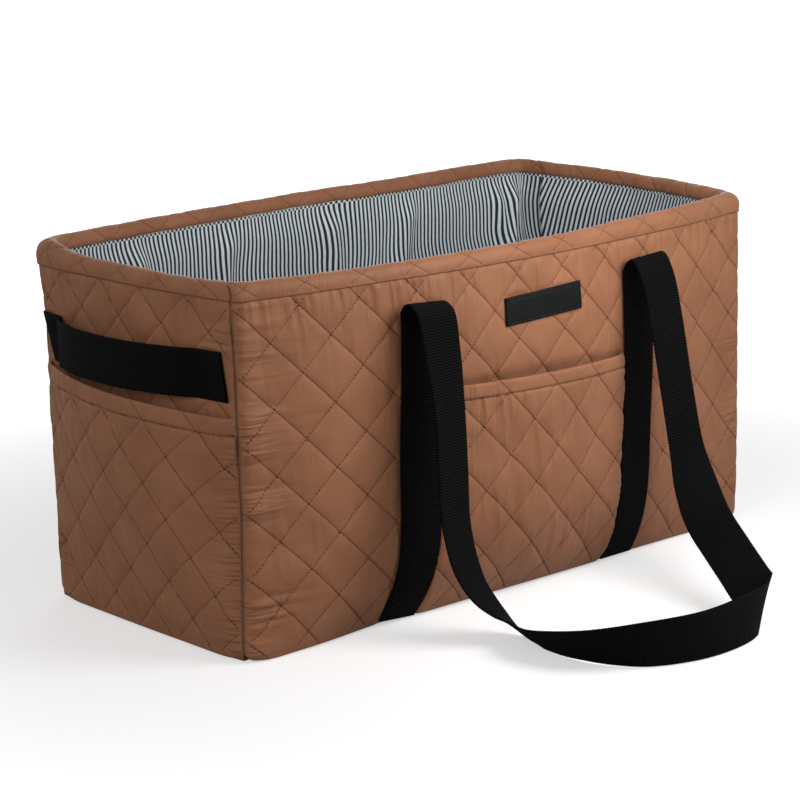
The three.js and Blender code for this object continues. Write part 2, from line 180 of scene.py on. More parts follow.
# Webbing
WEB_WIDTH = 38
WEB_T = 2
LAID_GAP = 0.7
LEFT_LEG = np.array([(0, 131), (47, 123), (162, 122), (252, 118)])
RIGHT_LEG = np.array([(0, 117), (95, 117), (150, 121), (252, 122)])
LEG_EASE = 16
LEG_FOOT = 3.2
WEB_TOOTH = 0.2
SLANT_LIMIT = 0.8
FLOOR_CLEAR = 0.5
FOLD_Z = 252
LEG_ROWS = 166
LEG_SEWN = 2.6
LEG_SEWN_ACROSS = (FOLD_Z - 8, FOLD_Z - 30)
WEB_SEWN = 3
THREAD_GAP = 0.05
FRONT_AXIS = 167.089
BACK_AXIS = 151.394

# Pockets, label and grab handles
POCKET_TOP = 187
BINDING_H = 11.5
POCKET_T = 3
POCKET_SWELL = 10
POCKET_SLOPE = -0.024
POCKET_COVER_HALF = LEFT_LEG[-1, 1] - WEB_WIDTH / 2
HEM_T = 3.8
HEM_OUT = 0.5
HEM_POWER = 0.62
HEM_SEWN = 1.6
MOUTH_DEPTH = 4.2
MOUTH_REACH = 9.0
MOUTH_DROP = 7.0
END_POCKET_TOP = 195
END_HEM_H = 14
END_POCKET_HALF = 120.7
END_POCKET_SWELL = 12
END_POCKET_SLOPE = -0.038
ELASTIC_HALF = 5
ELASTIC_INSET = 10
ELASTIC_DEPTH = 1.6
ELASTIC_T = 2.2
LABEL_LEFT = -33
LABEL_RIGHT = 51
LABEL_LOW = 228.5
LABEL_HIGH = 251.5
LABEL_TILT = 0.036
LABEL_T = 1.6
LABEL_MIDDLE = ((LABEL_LEFT + LABEL_RIGHT) / 2, (LABEL_LOW + LABEL_HIGH) / 2)
LABEL_HALF = ((LABEL_RIGHT - LABEL_LEFT) / 2, (LABEL_HIGH - LABEL_LOW) / 2)
LABEL_SEWN = 2.4
GRAB_LOW = 202
GRAB_HIGH = 240
GRAB_TAB_INS = {-1: 98, 1: 92}
GRAB_TAB_OUT = 113
GRAB_MIDDLE = (GRAB_LOW + GRAB_HIGH) / 2
GRAB_BOW = 15
GRAB_FREE = 62
GRAB_STEEP = 3.5
GRAB_FLAT = 2
GRAB_SLANTS = np.array([(-GRAB_TAB_OUT, 0.5), (-70, 0.26), (GRAB_TAB_OUT, 0.16)])

# The lying carrying handle, from leg to leg: x, distance out from the fold line, z,
# and the direction of the straight line across the webbing, which slants where the webbing folds over.
HANDLE_ROUTE = (
    (-120, -9, 258, 1, 0.05, -0.08),
    (-121, -1.5, 259.5, 1, 0.03, -0.06),
    (-121, 7, 253, 1, 0, -0.02),
    (-120, 12.5, 225, 1, 0.05, 0),
    (-120, 20, 175, 0.98, 0.2, -0.05),
    (-123, 25.5, 130, 0.98, 0.2, -0.08),
    (-125, 30, 92, 0.97, 0.24, -0.08),
    (-123, 38, 60, 0.95, 0.32, 0),
    (-116.5, 45, 40, 0.86, 0.48, 0.05),
    (-106, 53, 24, 0.8, 0.58, -0.1),
    (-100, 65, 13, 0.75, 0.4, -0.45),
    (-111, 105, 13, 0.77, 0.08, -0.64),
    (-105, 144, 16.5, 0.58, 0.18, -0.79),
    (-94, 163, 18, 0.41, 0.18, -0.89),
    (-72, 183, 19.5, 0.13, 0.1, -1),
    (-32, 196, 19.5, 0, 0, -1),
    (6, 196, 19.5, -0.1, -0.1, -1),
    (40, 189, 19.5, -0.25, -0.1, -1),
    (57, 180, 20, -0.5, -0.1, -0.85),
    (68, 153, 34, -0.75, 0.4, -0.45),
    (80, 123, 48, -0.75, 0.53, -0.4),
    (92, 93, 63, -0.75, 0.5, -0.42),
    (106, 68, 79, -0.9, 0.25, -0.25),
    (119, 45, 104, -1, 0.06, -0.08),
    (120, 31, 160, -1, 0, 0),
    (120.5, 19, 215, -1, 0, -0.03),
    (121, 8.5, 250, -1, 0, -0.06),
    (121, -1.5, 264, -1, 0, -0.06),
    (121, -8.6, 261, -1, -0.05, -0.06),
)


def unit(v):
    return v / np.maximum(np.linalg.norm(v, axis=-1, keepdims=True), 1e-9)


def smoothstep(low, high, x):
    share = np.clip((x - low) / (high - low), 0, 1)
    return share * share * (3 - 2 * share)


def eased(x, table, reach, period=None):
    """A table of (x, value) rows read with its bends rounded over a reach."""
    shifts = np.linspace(-reach, reach, 5)
    return np.mean([np.interp(x + shift, *table.T, period=period) for shift in shifts], axis=0)


def toe_share(s):
    """How fully the front wall stands out at s: 1 at its left corner, 0 from the left leg on."""
    return smoothstep(*TOE_ALONG, -s)


def noise(x, y, seed, cells=97):
    """Smooth noise from -1 to 1 over a grid of unit cells."""
    table = np.random.default_rng(seed).uniform(-1, 1, (cells, cells))
    x, y = np.broadcast_arrays(x, y)
    column = np.floor(x).astype(int)
    row = np.floor(y).astype(int)
    fx = smoothstep(0, 1, x - column)
    fy = smoothstep(0, 1, y - row)

    def corner(right, up):
        return table[(column + right) % cells, (row + up) % cells]

    low = corner(0, 0) * (1 - fx) + corner(1, 0) * fx
    high = corner(0, 1) * (1 - fx) + corner(1, 1) * fx
    return low * (1 - fy) + high * fy


def ridges(x, y, seed):
    """Thin ridges with wide valleys between them, from -1 to 1."""
    return 1 - RIDGE_SHARP * np.abs(noise(x, y, seed))


def path_lengths(points):
    """The way gone along a line of points, at each of them."""
    return np.concatenate([[0], np.cumsum(np.linalg.norm(np.diff(points, axis=0), axis=1))])


def read_along(at, gone, values):
    """Rows of values that lie at the ways gone, read at other places along the same line."""
    return np.stack([np.interp(at, gone, column) for column in values.T], -1)


# Walls

class Wall:
    """One of the four walls: s runs along it, seen from outside, and it bows outwards in the middle."""

    def __init__(self, turn, half, reach, rim_bow, belly, cut):
        self.turn = turn
        self.half = half
        self.reach = reach
        self.rim_bow = rim_bow
        self.belly = belly
        self.edge = half - cut

    def out(self, s, z):
        rise = np.clip(z / SEAM_Z, 0, 1)
        bow = self.rim_bow * (1 - (1 - rise) ** 3) + self.belly * 4 * rise * (1 - rise)
        drift = SAG * noise(s / SAG_SIZE + SAG_SHIFT, z / SAG_SIZE + SAG_SHIFT, SAG_SEED + self.turn)
        return self.reach + (bow + drift) * (1 - (s / self.half) ** 2) + self.slack(s, z)

    def slack(self, s, z):
        """The front swells above its tucked foot and stands out at its left corner. At the top, the left
        end flares at the back, and the right end and the back give way to a corner drawn back and in."""
        if self.turn == 0:
            low = np.clip(z / TUCK_TOP, 0, 1)
            hump = 27 / 4 * low * (1 - low) ** 2
            return TUCK * hump * (1 - (s / self.half) ** 2) + toe_share(s) * eased(z, TOE, HEIGHT_EASE)
        if self.turn == 1:
            return -BACK_CORNER * smoothstep(*BACK_CORNER_ON_END, s) * smoothstep(*BACK_CORNER_UP, z)
        if self.turn == 2:
            return BACK_CORNER * smoothstep(*BACK_CORNER_ON_BACK, -s) * smoothstep(*BACK_CORNER_UP, z)
        return EAR * smoothstep(*EAR_ALONG, -s) * smoothstep(*EAR_UP, z)

    def world(self, s, out, z):
        s, out, z = np.broadcast_arrays(s, out, z)
        if self.turn == 3:
            s = s + smoothstep(*SLIDE_ALONG, s) * eased(z, SEAM_SLIDE, HEIGHT_EASE)
        cos, sin = ((1, 0), (0, 1), (-1, 0), (0, -1))[self.turn]
        return np.stack([s * cos + out * sin, s * sin - out * cos, z], -1)

    def face(self, t, z):
        """A point of the outer face, where t goes on round the corners up to the end seams."""
        t, z = np.broadcast_arrays(t, z)
        side = np.sign(t)
        share = np.interp(np.abs(t) - self.edge, *self.corner)
        s = np.clip(t, -self.edge, self.edge)
        start = self.out(s, z)
        after, before = self.after, self.before
        end_s = np.where(side > 0, after.out(-after.edge, z), -before.out(before.edge, z))
        rest, both, full = (1 - share) ** 2, 2 * share * (1 - share), share ** 2
        corner_s = rest * s + both * end_s + full * end_s
        slide = eased(z, SEAM_SLIDE, HEIGHT_EASE) * (side < 0) if self.turn == 0 else 0
        corner_out = rest * start + both * start + full * (after.edge + slide)
        round_it = share > 0
        return self.world(
            np.where(round_it, corner_s, s), np.where(round_it, corner_out, start), z
        )

    def raised(self, off):
        """The wall's own face moved out by off(s, z), without its corners."""
        return lambda s, z: self.world(s, self.out(s, z) + off(s, z), z)


LONG_HALF = LENGTH / 2
END_HALF = DEPTH / 2


def corner_lengths(first, second):
    """Distances along a rounded corner between two cuts, and the shares of the curve there."""
    share = np.linspace(0, 1, 41)
    speed = 2 * np.hypot(first * (1 - share), second * share)
    gone = np.cumsum((speed[1:] + speed[:-1]) / 2 * np.diff(share))
    return np.concatenate([[0], gone]), share


def ring_of_walls(depth, long_cut, end_cut):
    """The four walls in the order of a walk round the bag, drawn in by a depth."""
    long_half, end_half = LONG_HALF - depth, END_HALF - depth
    ring = (
        Wall(0, long_half, end_half, FRONT_RIM_BOW, LONG_BELLY, long_cut),
        Wall(1, end_half, long_half, END_RIM_BOW, END_BELLY, end_cut),
        Wall(2, long_half, end_half, BACK_RIM_BOW, LONG_BELLY, long_cut),
        Wall(3, end_half, long_half, END_RIM_BOW, END_BELLY, end_cut),
    )
    for wall in ring:
        wall.after, wall.before = ring[(wall.turn + 1) % 4], ring[wall.turn - 1]
        is_end = wall.turn % 2
        wall.corner = corner_lengths(*((end_cut, long_cut) if is_end else (long_cut, end_cut)))
        wall.limit = wall.edge + (0 if is_end else wall.corner[0][-1])
    return ring


WALLS = ring_of_walls(0, CORNER_CUT, END_CUT)
FRONT, RIGHT, BACK, LEFT = WALLS
FOAM_WALLS = ring_of_walls(FOAM_DEPTH, INNER_CUT, INNER_CUT)
LINED_WALLS = ring_of_walls(LINING_DEPTH, INNER_CUT, INNER_CUT)


def strap_x(z, side):
    """Distance of a leg's middle line from the middle of its wall, for the leg on that side."""
    return np.where(side < 0, eased(z, LEFT_LEG, LEG_EASE), eased(z, RIGHT_LEG, LEG_EASE))


def foot_inset(z, to_seam=np.inf):
    """How far the rounded bottom edge draws in at height z; it is rounder near the corner seams."""
    near_seam = np.exp(-((to_seam / CORNER_FOOT_REACH) ** 2))
    radius = FOOT_R + (CORNER_FOOT_R - FOOT_R) * near_seam
    below = np.clip(radius - z, 0, radius)
    return radius - np.sqrt(radius ** 2 - below ** 2)


# Cloth surfaces

class Cloth:
    """A surface over (t, z): a base shape, moved along its own normal by a height."""

    def __init__(self, base, height):
        self.base = base
        self.height = height

    def normal(self, t, z):
        step = 0.6
        along = self.base(t + step, z) - self.base(t - step, z)
        up = self.base(t, z + step) - self.base(t, z - step)
        return unit(np.cross(along, up))

    def place(self, t, z, lift=0.0):
        t, z = np.broadcast_arrays(t, z)
        return self.base(t, z) + self.normal(t, z) * (self.height(t, z) + lift)[..., None]


class Quilt:
    """Diamond quilting: two families of slanted stitch lines that cross at a known point."""

    def __init__(self, s, z, width, height, seed, lean=0.0, groove=1.0, dome=1.0, drift=(0, 0)):
        self.s, self.z = s, z
        self.a, self.b = width / 2, height / 2
        self.seed = seed
        self.lean = lean
        self.groove, self.dome = groove, dome
        self.drift = drift
        self.spacing = 2 / math.hypot(1 / self.a, 1 / self.b)

    def wobble(self, t, z, family):
        """How far the lines of a family lie off their even places, as a share of their spacing."""
        places = t / WOBBLE_SIZE + WOBBLE_SHIFT, z / WOBBLE_SIZE + WOBBLE_SHIFT
        return WOBBLE * noise(*places, self.seed + family) + self.drift[family] * toe_share(t)

    def bands(self, t, z):
        u = (t + self.lean * (self.z - z) - self.s) / self.a
        w = (z - self.z) / self.b
        return (u + w) / 2 + self.wobble(t, z, 0), (u - w) / 2 + self.wobble(t, z, 1)

    def distances(self, t, z):
        """Distance to the nearest line of each family."""
        return [self.spacing * np.abs(band - np.round(band)) for band in self.bands(t, z)]

    def puff(self, t, z):
        first, second = self.distances(t, z)
        tight = (1 - np.exp(-first / GROOVE_WIDTH)) * (1 - np.exp(-second / GROOVE_WIDTH))
        crown = np.sin(np.pi * first / self.spacing) * np.sin(np.pi * second / self.spacing)
        return self.groove * (tight - 1) + self.dome * np.sqrt(crown)

    def marks(self, t, z, seam=0.0):
        """The two line coordinates and the painted shade of a seam, for the material."""
        t, z, seam = np.broadcast_arrays(t, z, seam)
        return np.stack([*self.bands(t, z), seam], -1)

    def lines(self, t_low, t_high, z_low, z_high, keep=None):
        """The stitch lines inside a rectangle, as runs of (t, z) points."""
        z = np.arange(z_low, z_high, LINE_STEP)
        w = (z - self.z) / self.b
        more = len(z) * LINE_STEP / self.b
        shift = self.lean * (self.z - z)
        runs = []
        for family, sign in enumerate((-1, 1)):
            first = (t_low - self.s) / self.a / 2 - more
            last = (t_high - self.s) / self.a / 2 + more
            for number in range(math.floor(first), math.ceil(last) + 1):
                t = self.s + self.a * (2 * number + sign * w) - shift
                for _ in range(2):
                    bend = 2 * self.wobble(t, z, family)
                    t = self.s + self.a * (2 * number + sign * w - bend) - shift
                inside = (t > t_low) & (t < t_high)
                if keep is not None:
                    inside &= keep(t, z)
                runs += split_runs(np.stack([t, z], -1), inside)
        return runs


def split_runs(points, inside):
    """The unbroken stretches of points that are inside."""
    cuts = np.flatnonzero(np.diff(inside.astype(int))) + 1
    runs = []
    for part, flags in zip(np.split(points, cuts), np.split(inside, cuts)):
        if flags[0] and len(part) > 3:
            runs.append(part)
    return runs


# Meshes

def grid_faces(rows, columns, start=0, ring=False):
    index = start + np.arange(rows * columns).reshape(rows, columns)
    if ring:
        index = np.concatenate([index, index[:, :1]], 1)
    corners = (index[:-1, :-1], index[:-1, 1:], index[1:, 1:], index[1:, :-1])
    return np.stack(corners, -1).reshape(-1, 4)


def border_faces(fine, coarse, picks):
    """Triangles between a fine edge and the coarse edge behind it, whose points lie at the picks."""
    faces = []
    for j in range(len(picks) - 1):
        low, high = picks[j], picks[j + 1]
        middle = (low + high + 1) // 2
        faces += [(fine[i + 1], fine[i], coarse[j]) for i in range(low, middle)]
        faces.append((fine[middle], coarse[j], coarse[j + 1]))
        faces += [(fine[i + 1], fine[i], coarse[j + 1]) for i in range(middle, high)]
    return faces


def picked(count, stride):
    picks = list(range(0, count - 1, stride))
    return np.array(picks + [count - 1])


def slab_mesh(face, behind, stride=8):
    """A closed slab: a fine outer face, and behind(rows, columns) for the coarse face at its back."""
    rows, columns = face.shape[:2]
    row_picks, column_picks = picked(rows, stride), picked(columns, stride)
    back = behind(row_picks, column_picks)
    start = rows * columns
    fine = np.arange(start).reshape(rows, columns)
    coarse = start + np.arange(back.shape[0] * back.shape[1]).reshape(back.shape[:2])
    triangles = []
    flip_columns = columns - 1 - column_picks[::-1]
    flip_rows = rows - 1 - row_picks[::-1]
    triangles += border_faces(fine[0], coarse[0], column_picks)
    triangles += border_faces(fine[:, -1], coarse[:, -1], row_picks)
    triangles += border_faces(fine[-1, ::-1], coarse[-1, ::-1], flip_columns)
    triangles += border_faces(fine[::-1, 0], coarse[::-1, 0], flip_rows)
    back_faces = grid_faces(*back.shape[:2], start=start)[:, ::-1]
    points = np.concatenate([face.reshape(-1, 3), back.reshape(-1, 3)])
    quads = np.concatenate([grid_faces(rows, columns), back_faces])
    return points, quads, np.array(triangles), (row_picks, column_picks)


def tube_mesh(rings, closed=False):
    """A tube through rings of points, closed on itself or capped at both ends."""
    count, around = rings.shape[:2]
    points = rings.reshape(-1, 3)
    quads = grid_faces(count, around, ring=True)
    if closed:
        last, first = (count - 1) * around + np.arange(around), np.arange(around)
        seam = (last, np.roll(last, -1), np.roll(first, -1), first)
        return points, np.concatenate([quads, np.stack(seam, -1)]), np.empty((0, 3), int)
    caps = []
    for row, turn in ((0, -1), (count - 1, 1)):
        middle = len(points)
        points = np.concatenate([points, rings[row].mean(0)[None]])
        ring = row * around + np.arange(around)[::turn]
        caps.append(np.stack([ring, np.roll(ring, -1), np.full(around, middle)], -1))
    return points, quads, np.concatenate(caps)


def faces_outward(points, quads, triangles):
    """True if the faces turn their fronts out of the closed shape."""
    halves = [triangles, quads[:, :3], quads[:, [0, 2, 3]]] if len(quads) else [triangles]
    corners = points[np.concatenate([h.reshape(-1, 3) for h in halves])]
    return np.einsum("ij,ij->", corners[:, 0], np.cross(corners[:, 1], corners[:, 2])) > 0


def keep_values(mesh, name, values):
    kept = mesh.attributes.new(name, "FLOAT_VECTOR", "POINT")
    kept.data.foreach_set("vector", values.astype(np.float32).ravel())


def make_piece(name, mesh_parts, cloth, material, replaces=(), body="bag", marks=None):
    """An object from points in millimetres, with the cloth's own coordinates kept for its material."""
    points, quads, triangles = mesh_parts
    if not faces_outward(points, quads, triangles):
        quads, triangles = quads[:, ::-1], triangles[:, ::-1]
    mesh = bpy.data.meshes.new(name)
    mesh.vertices.add(len(points))
    mesh.vertices.foreach_set("co", (points * MM).astype(np.float32).ravel())
    corners = np.concatenate([quads.ravel(), triangles.ravel()]).astype(np.int32)
    starts = np.concatenate(
        [np.arange(len(quads)) * 4, len(quads) * 4 + np.arange(len(triangles)) * 3]
    )
    mesh.loops.add(len(corners))
    mesh.loops.foreach_set("vertex_index", corners)
    mesh.polygons.add(len(starts))
    mesh.polygons.foreach_set("loop_start", starts.astype(np.int32))
    mesh.update(calc_edges=True)
    mesh.polygons.foreach_set("use_smooth", np.ones(len(starts), bool))
    keep_values(mesh, "cloth", cloth)
    if marks is not None:
        keep_values(mesh, "quilt", marks)
    mesh.materials.append(material)
    piece = bpy.data.objects.new(name, mesh)
    bpy.context.scene.collection.objects.link(piece)
    if body:
        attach(piece, body)
    if replaces:
        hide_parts(*replaces)
    return piece


UNMARKED = np.array([0.5, 0.5, 0.0])


def cloth_values(t, z, strain=0.0):
    """A cloth's own coordinates, and its strain: above 0 it puckers upright, below 0 level."""
    t, z, strain = np.broadcast_arrays(t, z, strain)
    return np.stack([t * MM, z * MM, np.clip(strain, -1, 1)], -1).reshape(-1, 3)


def make_slab(name, cloth, t, z, thickness, marks, material, replaces=(), stride=8, strain=None):
    """A padded panel over the rows z and columns t; both may also be given as full grids."""
    z, t = (z[:, None], t[None, :]) if np.ndim(t) == 1 else (z, t)
    t, z = np.broadcast_arrays(t, z)

    def behind(rows, columns):
        some_t, some_z = t[np.ix_(rows, columns)], z[np.ix_(rows, columns)]
        depth = thickness(some_t, some_z) if callable(thickness) else thickness
        flat = Cloth(cloth.base, lambda a, b: np.zeros(np.shape(a)) - depth)
        return flat.place(some_t, some_z)

    points, quads, triangles, (rows, columns) = slab_mesh(cloth.place(t, z), behind, stride)
    back = np.ix_(rows, columns)
    pulled = 0.0 if strain is None else strain(t, z)
    values = np.concatenate([cloth_values(t, z, pulled), cloth_values(t[back], z[back])])
    if marks is not None:
        plain = np.tile(UNMARKED, (len(points) - t.size, 1))
        marks = np.concatenate([marks(t, z).reshape(-1, 3), plain])
    return make_piece(name, (points, quads, triangles), values, material, replaces, marks=marks)


def make_stitches(name, cloth, runs, material, pitch=3.2, length=1.7, radius=0.5):
    """Thread stitches along runs of (t, z) points on a cloth, as one piece of pointed spindles."""
    starts, ends = [], []
    for run in runs:
        gone = path_lengths(run)
        at = np.arange(pitch / 2, gone[-1] - length, pitch)
        starts.append(read_along(at, gone, run))
        ends.append(read_along(at + length, gone, run))
    starts, ends = np.concatenate(starts), np.concatenate(ends)
    middle = (starts + ends) / 2
    normal = cloth.normal(*middle.T)
    first = cloth.place(*starts.T, STITCH_SINK)
    last = cloth.place(*ends.T, STITCH_SINK)
    side = unit(np.cross(normal, last - first))
    rings = [first]
    for share in STITCH_SHARES:
        centre = first + (last - first) * share + normal * STITCH_RISE
        for up, across in ((1, 0), (0, 1), (-1, 0), (0, -1)):
            rings.append(centre + normal * up * radius + side * across * radius)
    rings.append(last)
    points = np.stack(rings, 1)
    per_stitch = len(rings)
    around = (1, 2, 3, 4)
    pairs = list(zip(around, np.roll(around, -1)))
    tips = [(0, a, b) for a, b in pairs]
    tips += [(per_stitch - 1, b + 4, a + 4) for a, b in pairs]
    walls = [(a, a + 4, b + 4, b) for a, b in pairs]
    offset = np.arange(len(points))[:, None, None] * per_stitch
    quads = (np.array(walls)[None] + offset).reshape(-1, 4)
    triangles = (np.array(tips)[None] + offset).reshape(-1, 3)
    values = cloth_values(*np.repeat(middle, per_stitch, axis=0).T)
    make_piece(name, (points.reshape(-1, 3), quads, triangles), values, material)


# Materials

class Tree:
    """A node tree, with short calls for the few kinds of node used here."""

    def __init__(self, tree):
        self.tree = tree

    def feed(self, node, inputs):
        """Links each input of a node to an output, or sets its value."""
        for key, value in inputs.items():
            if isinstance(value, bpy.types.NodeSocket):
                self.tree.links.new(value, node.inputs[key])
            else:
                node.inputs[key].default_value = value

    def node(self, kind, inputs, output=0, **settings):
        made = self.tree.nodes.new("ShaderNode" + kind)
        for key, value in settings.items():
            setattr(made, key, value)
        self.feed(made, inputs)
        return made.outputs[output]

    def math(self, operation, first, second=0.0, third=0.0):
        return self.node("Math", {0: first, 1: second, 2: third}, operation=operation)


class Graph(Tree):
    """A material's nodes, which read the cloth's own coordinates from its mesh."""

    def __init__(self, name, **sockets):
        self.material = bpy.data.materials.new(name)
        self.material.use_nodes = True
        super().__init__(self.material.node_tree)
        self.shader = self.tree.nodes["Principled BSDF"]
        self.link(**sockets)
        self.cloth = self.attribute("cloth")
        self.t, self.z, self.strain = self.split(self.cloth)

    def attribute(self, name):
        return self.node("Attribute", {}, "Vector", attribute_name=name)

    def split(self, vector):
        return self.node("SeparateXYZ", {0: vector}).node.outputs

    def stretched(self, t_scale, z_scale):
        return self.node(
            "VectorMath", {0: self.cloth, 1: (t_scale, z_scale, 0)}, operation="MULTIPLY"
        )

    def noise(self, t_scale, z_scale, detail=2.0, rough=0.5):
        vector = self.stretched(t_scale, z_scale)
        return self.node(
            "TexNoise", {"Vector": vector, "Scale": 1.0, "Detail": detail, "Roughness": rough}
        )

    def wave(self, coordinate, period, phase=0.0):
        turns = self.math("MULTIPLY_ADD", coordinate, 2 * math.pi / (period * MM), phase)
        return self.math("SINE", turns)

    def fit(self, value, low, high, to_low, to_high):
        return self.node("MapRange", {
            "Value": value, "From Min": low, "From Max": high, "To Min": to_low, "To Max": to_high,
        })

    def mix(self, factor, first, second, blend="MIX"):
        inputs = {0: factor, 6: first, 7: second}
        return self.node("Mix", inputs, 2, data_type="RGBA", blend_type=blend)

    def bump(self, height, strength, depth, under=None):
        inputs = {"Height": height, "Strength": strength, "Distance": depth * MM}
        if under is not None:
            inputs["Normal"] = under
        return self.node("Bump", inputs)

    def link(self, **sockets):
        self.feed(self.shader, {socket.replace("_", " "): value for socket, value in sockets.items()})
        return self.material


def colour(red, green, blue):
    """A display colour from 0 to 255, as the linear colour that the shader takes."""
    return (*(((c / 255 + 0.055) / 1.055) ** 2.4 for c in (red, green, blue)), 1)


def quilted_nylon():
    g = Graph("quilted_nylon", Sheen_Weight=0.1, Sheen_Roughness=0.5, Specular_IOR_Level=0.2)
    g.link(Sheen_Tint=colour(255, 228, 206))
    rising, falling, seam = g.split(g.attribute("quilt"))

    def line(band, width, strength):
        """Strength on a stitch line, falling to 0 at a width in shares of the line spacing."""
        off = g.math("ABSOLUTE", g.math("SUBTRACT", g.math("FRACT", band), 0.5))
        return g.fit(off, 0.5 - width, 0.5 - width / 5, 0, strength)

    # Quilting lines and seams are marked here to be darkened: painted shade in their creases, with some
    # of the thread's brown. One family of lines gets far more than the other, and the same mask also
    # presses the lines in as bump.
    crease = g.math("MAXIMUM", line(rising, 0.026, 0.7), line(falling, 0.022, 0.2))
    faint = g.math("ADD", g.math("MINIMUM", seam, 0.0), 1.0)
    crease = g.math("MAXIMUM", g.math("MULTIPLY", crease, faint), seam)
    upright = g.math("MULTIPLY", g.noise(170, 22, 1.0), g.math("MAXIMUM", g.strain, 0.0))
    level = g.math("MULTIPLY", g.noise(24, 270, 1.5), g.math("MINIMUM", g.strain, 0.0))
    streaks = g.math("MULTIPLY_ADD", level, -2.2, upright)
    cloudy = g.fit(g.noise(22, 22, 3), 0.3, 0.7, 0, 1)
    shade = g.mix(cloudy, colour(134, 87, 60), colour(148, 99, 70))
    fleck = g.fit(g.noise(900, 900, 1), 0.25, 0.75, 0.93, 1.06)
    shade = g.mix(1.0, shade, g.node("CombineColor", {0: fleck, 1: fleck, 2: fleck}), "MULTIPLY")
    # Painted crease and seam shade: the marked lines mix towards a dark brown.
    shade = g.mix(g.math("MULTIPLY", crease, 0.8), shade, colour(86, 43, 24))
    weave = g.math("MULTIPLY", g.wave(g.t, 1.1), g.wave(g.z, 1.1))
    normal = g.bump(streaks, 1.0, 2.6)
    normal = g.bump(g.noise(90, 60, 4, 0.6), 0.35, 1.6, normal)
    normal = g.bump(weave, 0.1, 0.3, normal)
    normal = g.bump(crease, 0.5, -0.8, normal)
    rough = g.fit(g.noise(70, 70, 2), 0.3, 0.7, 0.5, 0.62)
    return g.link(Base_Color=shade, Roughness=rough, Normal=normal)


def sewing_thread(name, dark, light, roughness, shine):
    g = Graph(name, Roughness=roughness, Specular_IOR_Level=shine)
    return g.link(Base_Color=g.mix(g.noise(400, 400), colour(*dark), colour(*light)))


def striped_ticking():
    g = Graph("striped_ticking", Sheen_Weight=0.1, Specular_IOR_Level=0.25)
    hem = g.math("GREATER_THAN", g.z, (LINING_TOP - LINING_HEM) * MM)
    shift = g.math("MULTIPLY", hem, math.pi)
    band = g.fit(g.wave(g.t, STRIPE_PITCH, shift), -0.32, 0.32, 0, 1)
    worn = g.fit(g.noise(1300, 260, 2), 0.3, 0.7, 0, 1)
    dark = g.mix(worn, colour(17, 22, 29), colour(34, 40, 48))
    pale = g.mix(worn, colour(196, 204, 208), colour(220, 226, 229))
    shade = g.mix(band, dark, pale)
    twill = g.wave(g.math("ADD", g.t, g.z), 1.2)
    normal = g.bump(twill, 0.18, 0.3, g.bump(g.noise(160, 60, 3), 0.25, 1.0))
    rough = g.fit(worn, 0, 1, 0.72, 0.86)
    return g.link(Base_Color=shade, Roughness=rough, Normal=normal)


def black_webbing():
    g = Graph("black_webbing", Specular_IOR_Level=0.04)
    ribs = g.wave(g.z, 2.2)
    warp = g.math("MULTIPLY", g.wave(g.t, 3.0), g.wave(g.z, 4.4))
    height = g.math("MULTIPLY_ADD", warp, 0.5, ribs)
    lit = g.fit(g.math("MULTIPLY_ADD", g.noise(700, 700, 2), 0.8, height), -0.6, 1.6, 0, 1)
    shade = g.mix(lit, colour(1, 1, 2), colour(12, 12, 13))
    rough = g.fit(lit, 0, 1, 0.78, 0.6)
    return g.link(Base_Color=shade, Roughness=rough, Normal=g.bump(height, 0.6, 0.6))


def label_leather():
    g = Graph("label_leather", Specular_IOR_Level=0.1)
    cells = g.node("TexVoronoi", {"Vector": g.stretched(850, 850), "Scale": 1.0})
    shade = g.mix(g.fit(cells, 0, 0.7, 0, 1), colour(22, 24, 24), colour(10, 11, 11))
    rough = g.fit(g.noise(120, 120, 2), 0.3, 0.7, 0.42, 0.6)
    normal = g.bump(g.noise(300, 300, 3), 0.2, 0.6, g.bump(cells, 0.35, -0.5))
    return g.link(Base_Color=shade, Roughness=rough, Normal=normal)


def soft_foam():
    g = Graph("soft_foam", Specular_IOR_Level=0.2)
    cells = g.noise(500, 500, 4, 0.7)
    shade = g.mix(cells, colour(214, 208, 192), colour(238, 234, 222))
    rough = g.fit(cells, 0.3, 0.7, 0.85, 0.95)
    return g.link(Base_Color=shade, Roughness=rough, Normal=g.bump(cells, 0.5, 0.8))


def moulded_board():
    g = Graph("moulded_board", Specular_IOR_Level=0.4)
    place = g.node("TexCoord", {}, "Object")
    grain = g.node("TexNoise", {"Vector": place, "Scale": 420.0, "Detail": 3.0})
    shade = g.mix(grain, colour(62, 62, 63), colour(82, 82, 83))
    rough = g.fit(grain, 0.3, 0.7, 0.5, 0.66)
    return g.link(Base_Color=shade, Roughness=rough, Normal=g.bump(grain, 0.3, 0.5))


def knit_elastic():
    g = Graph("knit_elastic", Specular_IOR_Level=0.25)
    knit = g.math("MULTIPLY", g.wave(g.z, 1.6), g.wave(g.t, 2.2))
    shade = g.mix(g.fit(knit, -1, 1, 0, 1), colour(212, 208, 199), colour(240, 237, 230))
    rough = g.fit(knit, -1, 1, 0.9, 0.74)
    return g.link(Base_Color=shade, Roughness=rough, Normal=g.bump(knit, 0.5, 0.6))


NYLON = quilted_nylon()
THREAD = sewing_thread("brown_thread", (80, 40, 22), (98, 52, 30), 0.8, 0.05)
BLACK_THREAD = sewing_thread("black_thread", (7, 7, 8), (17, 17, 18), 0.7, 0.1)
GREY_THREAD = sewing_thread("grey_thread", (26, 28, 28), (42, 44, 44), 0.6, 0.2)
TICKING = striped_ticking()
WEBBING = black_webbing()
LEATHER = label_leather()
FOAM = soft_foam()
BOARD = moulded_board()
ELASTIC = knit_elastic()


# Camera

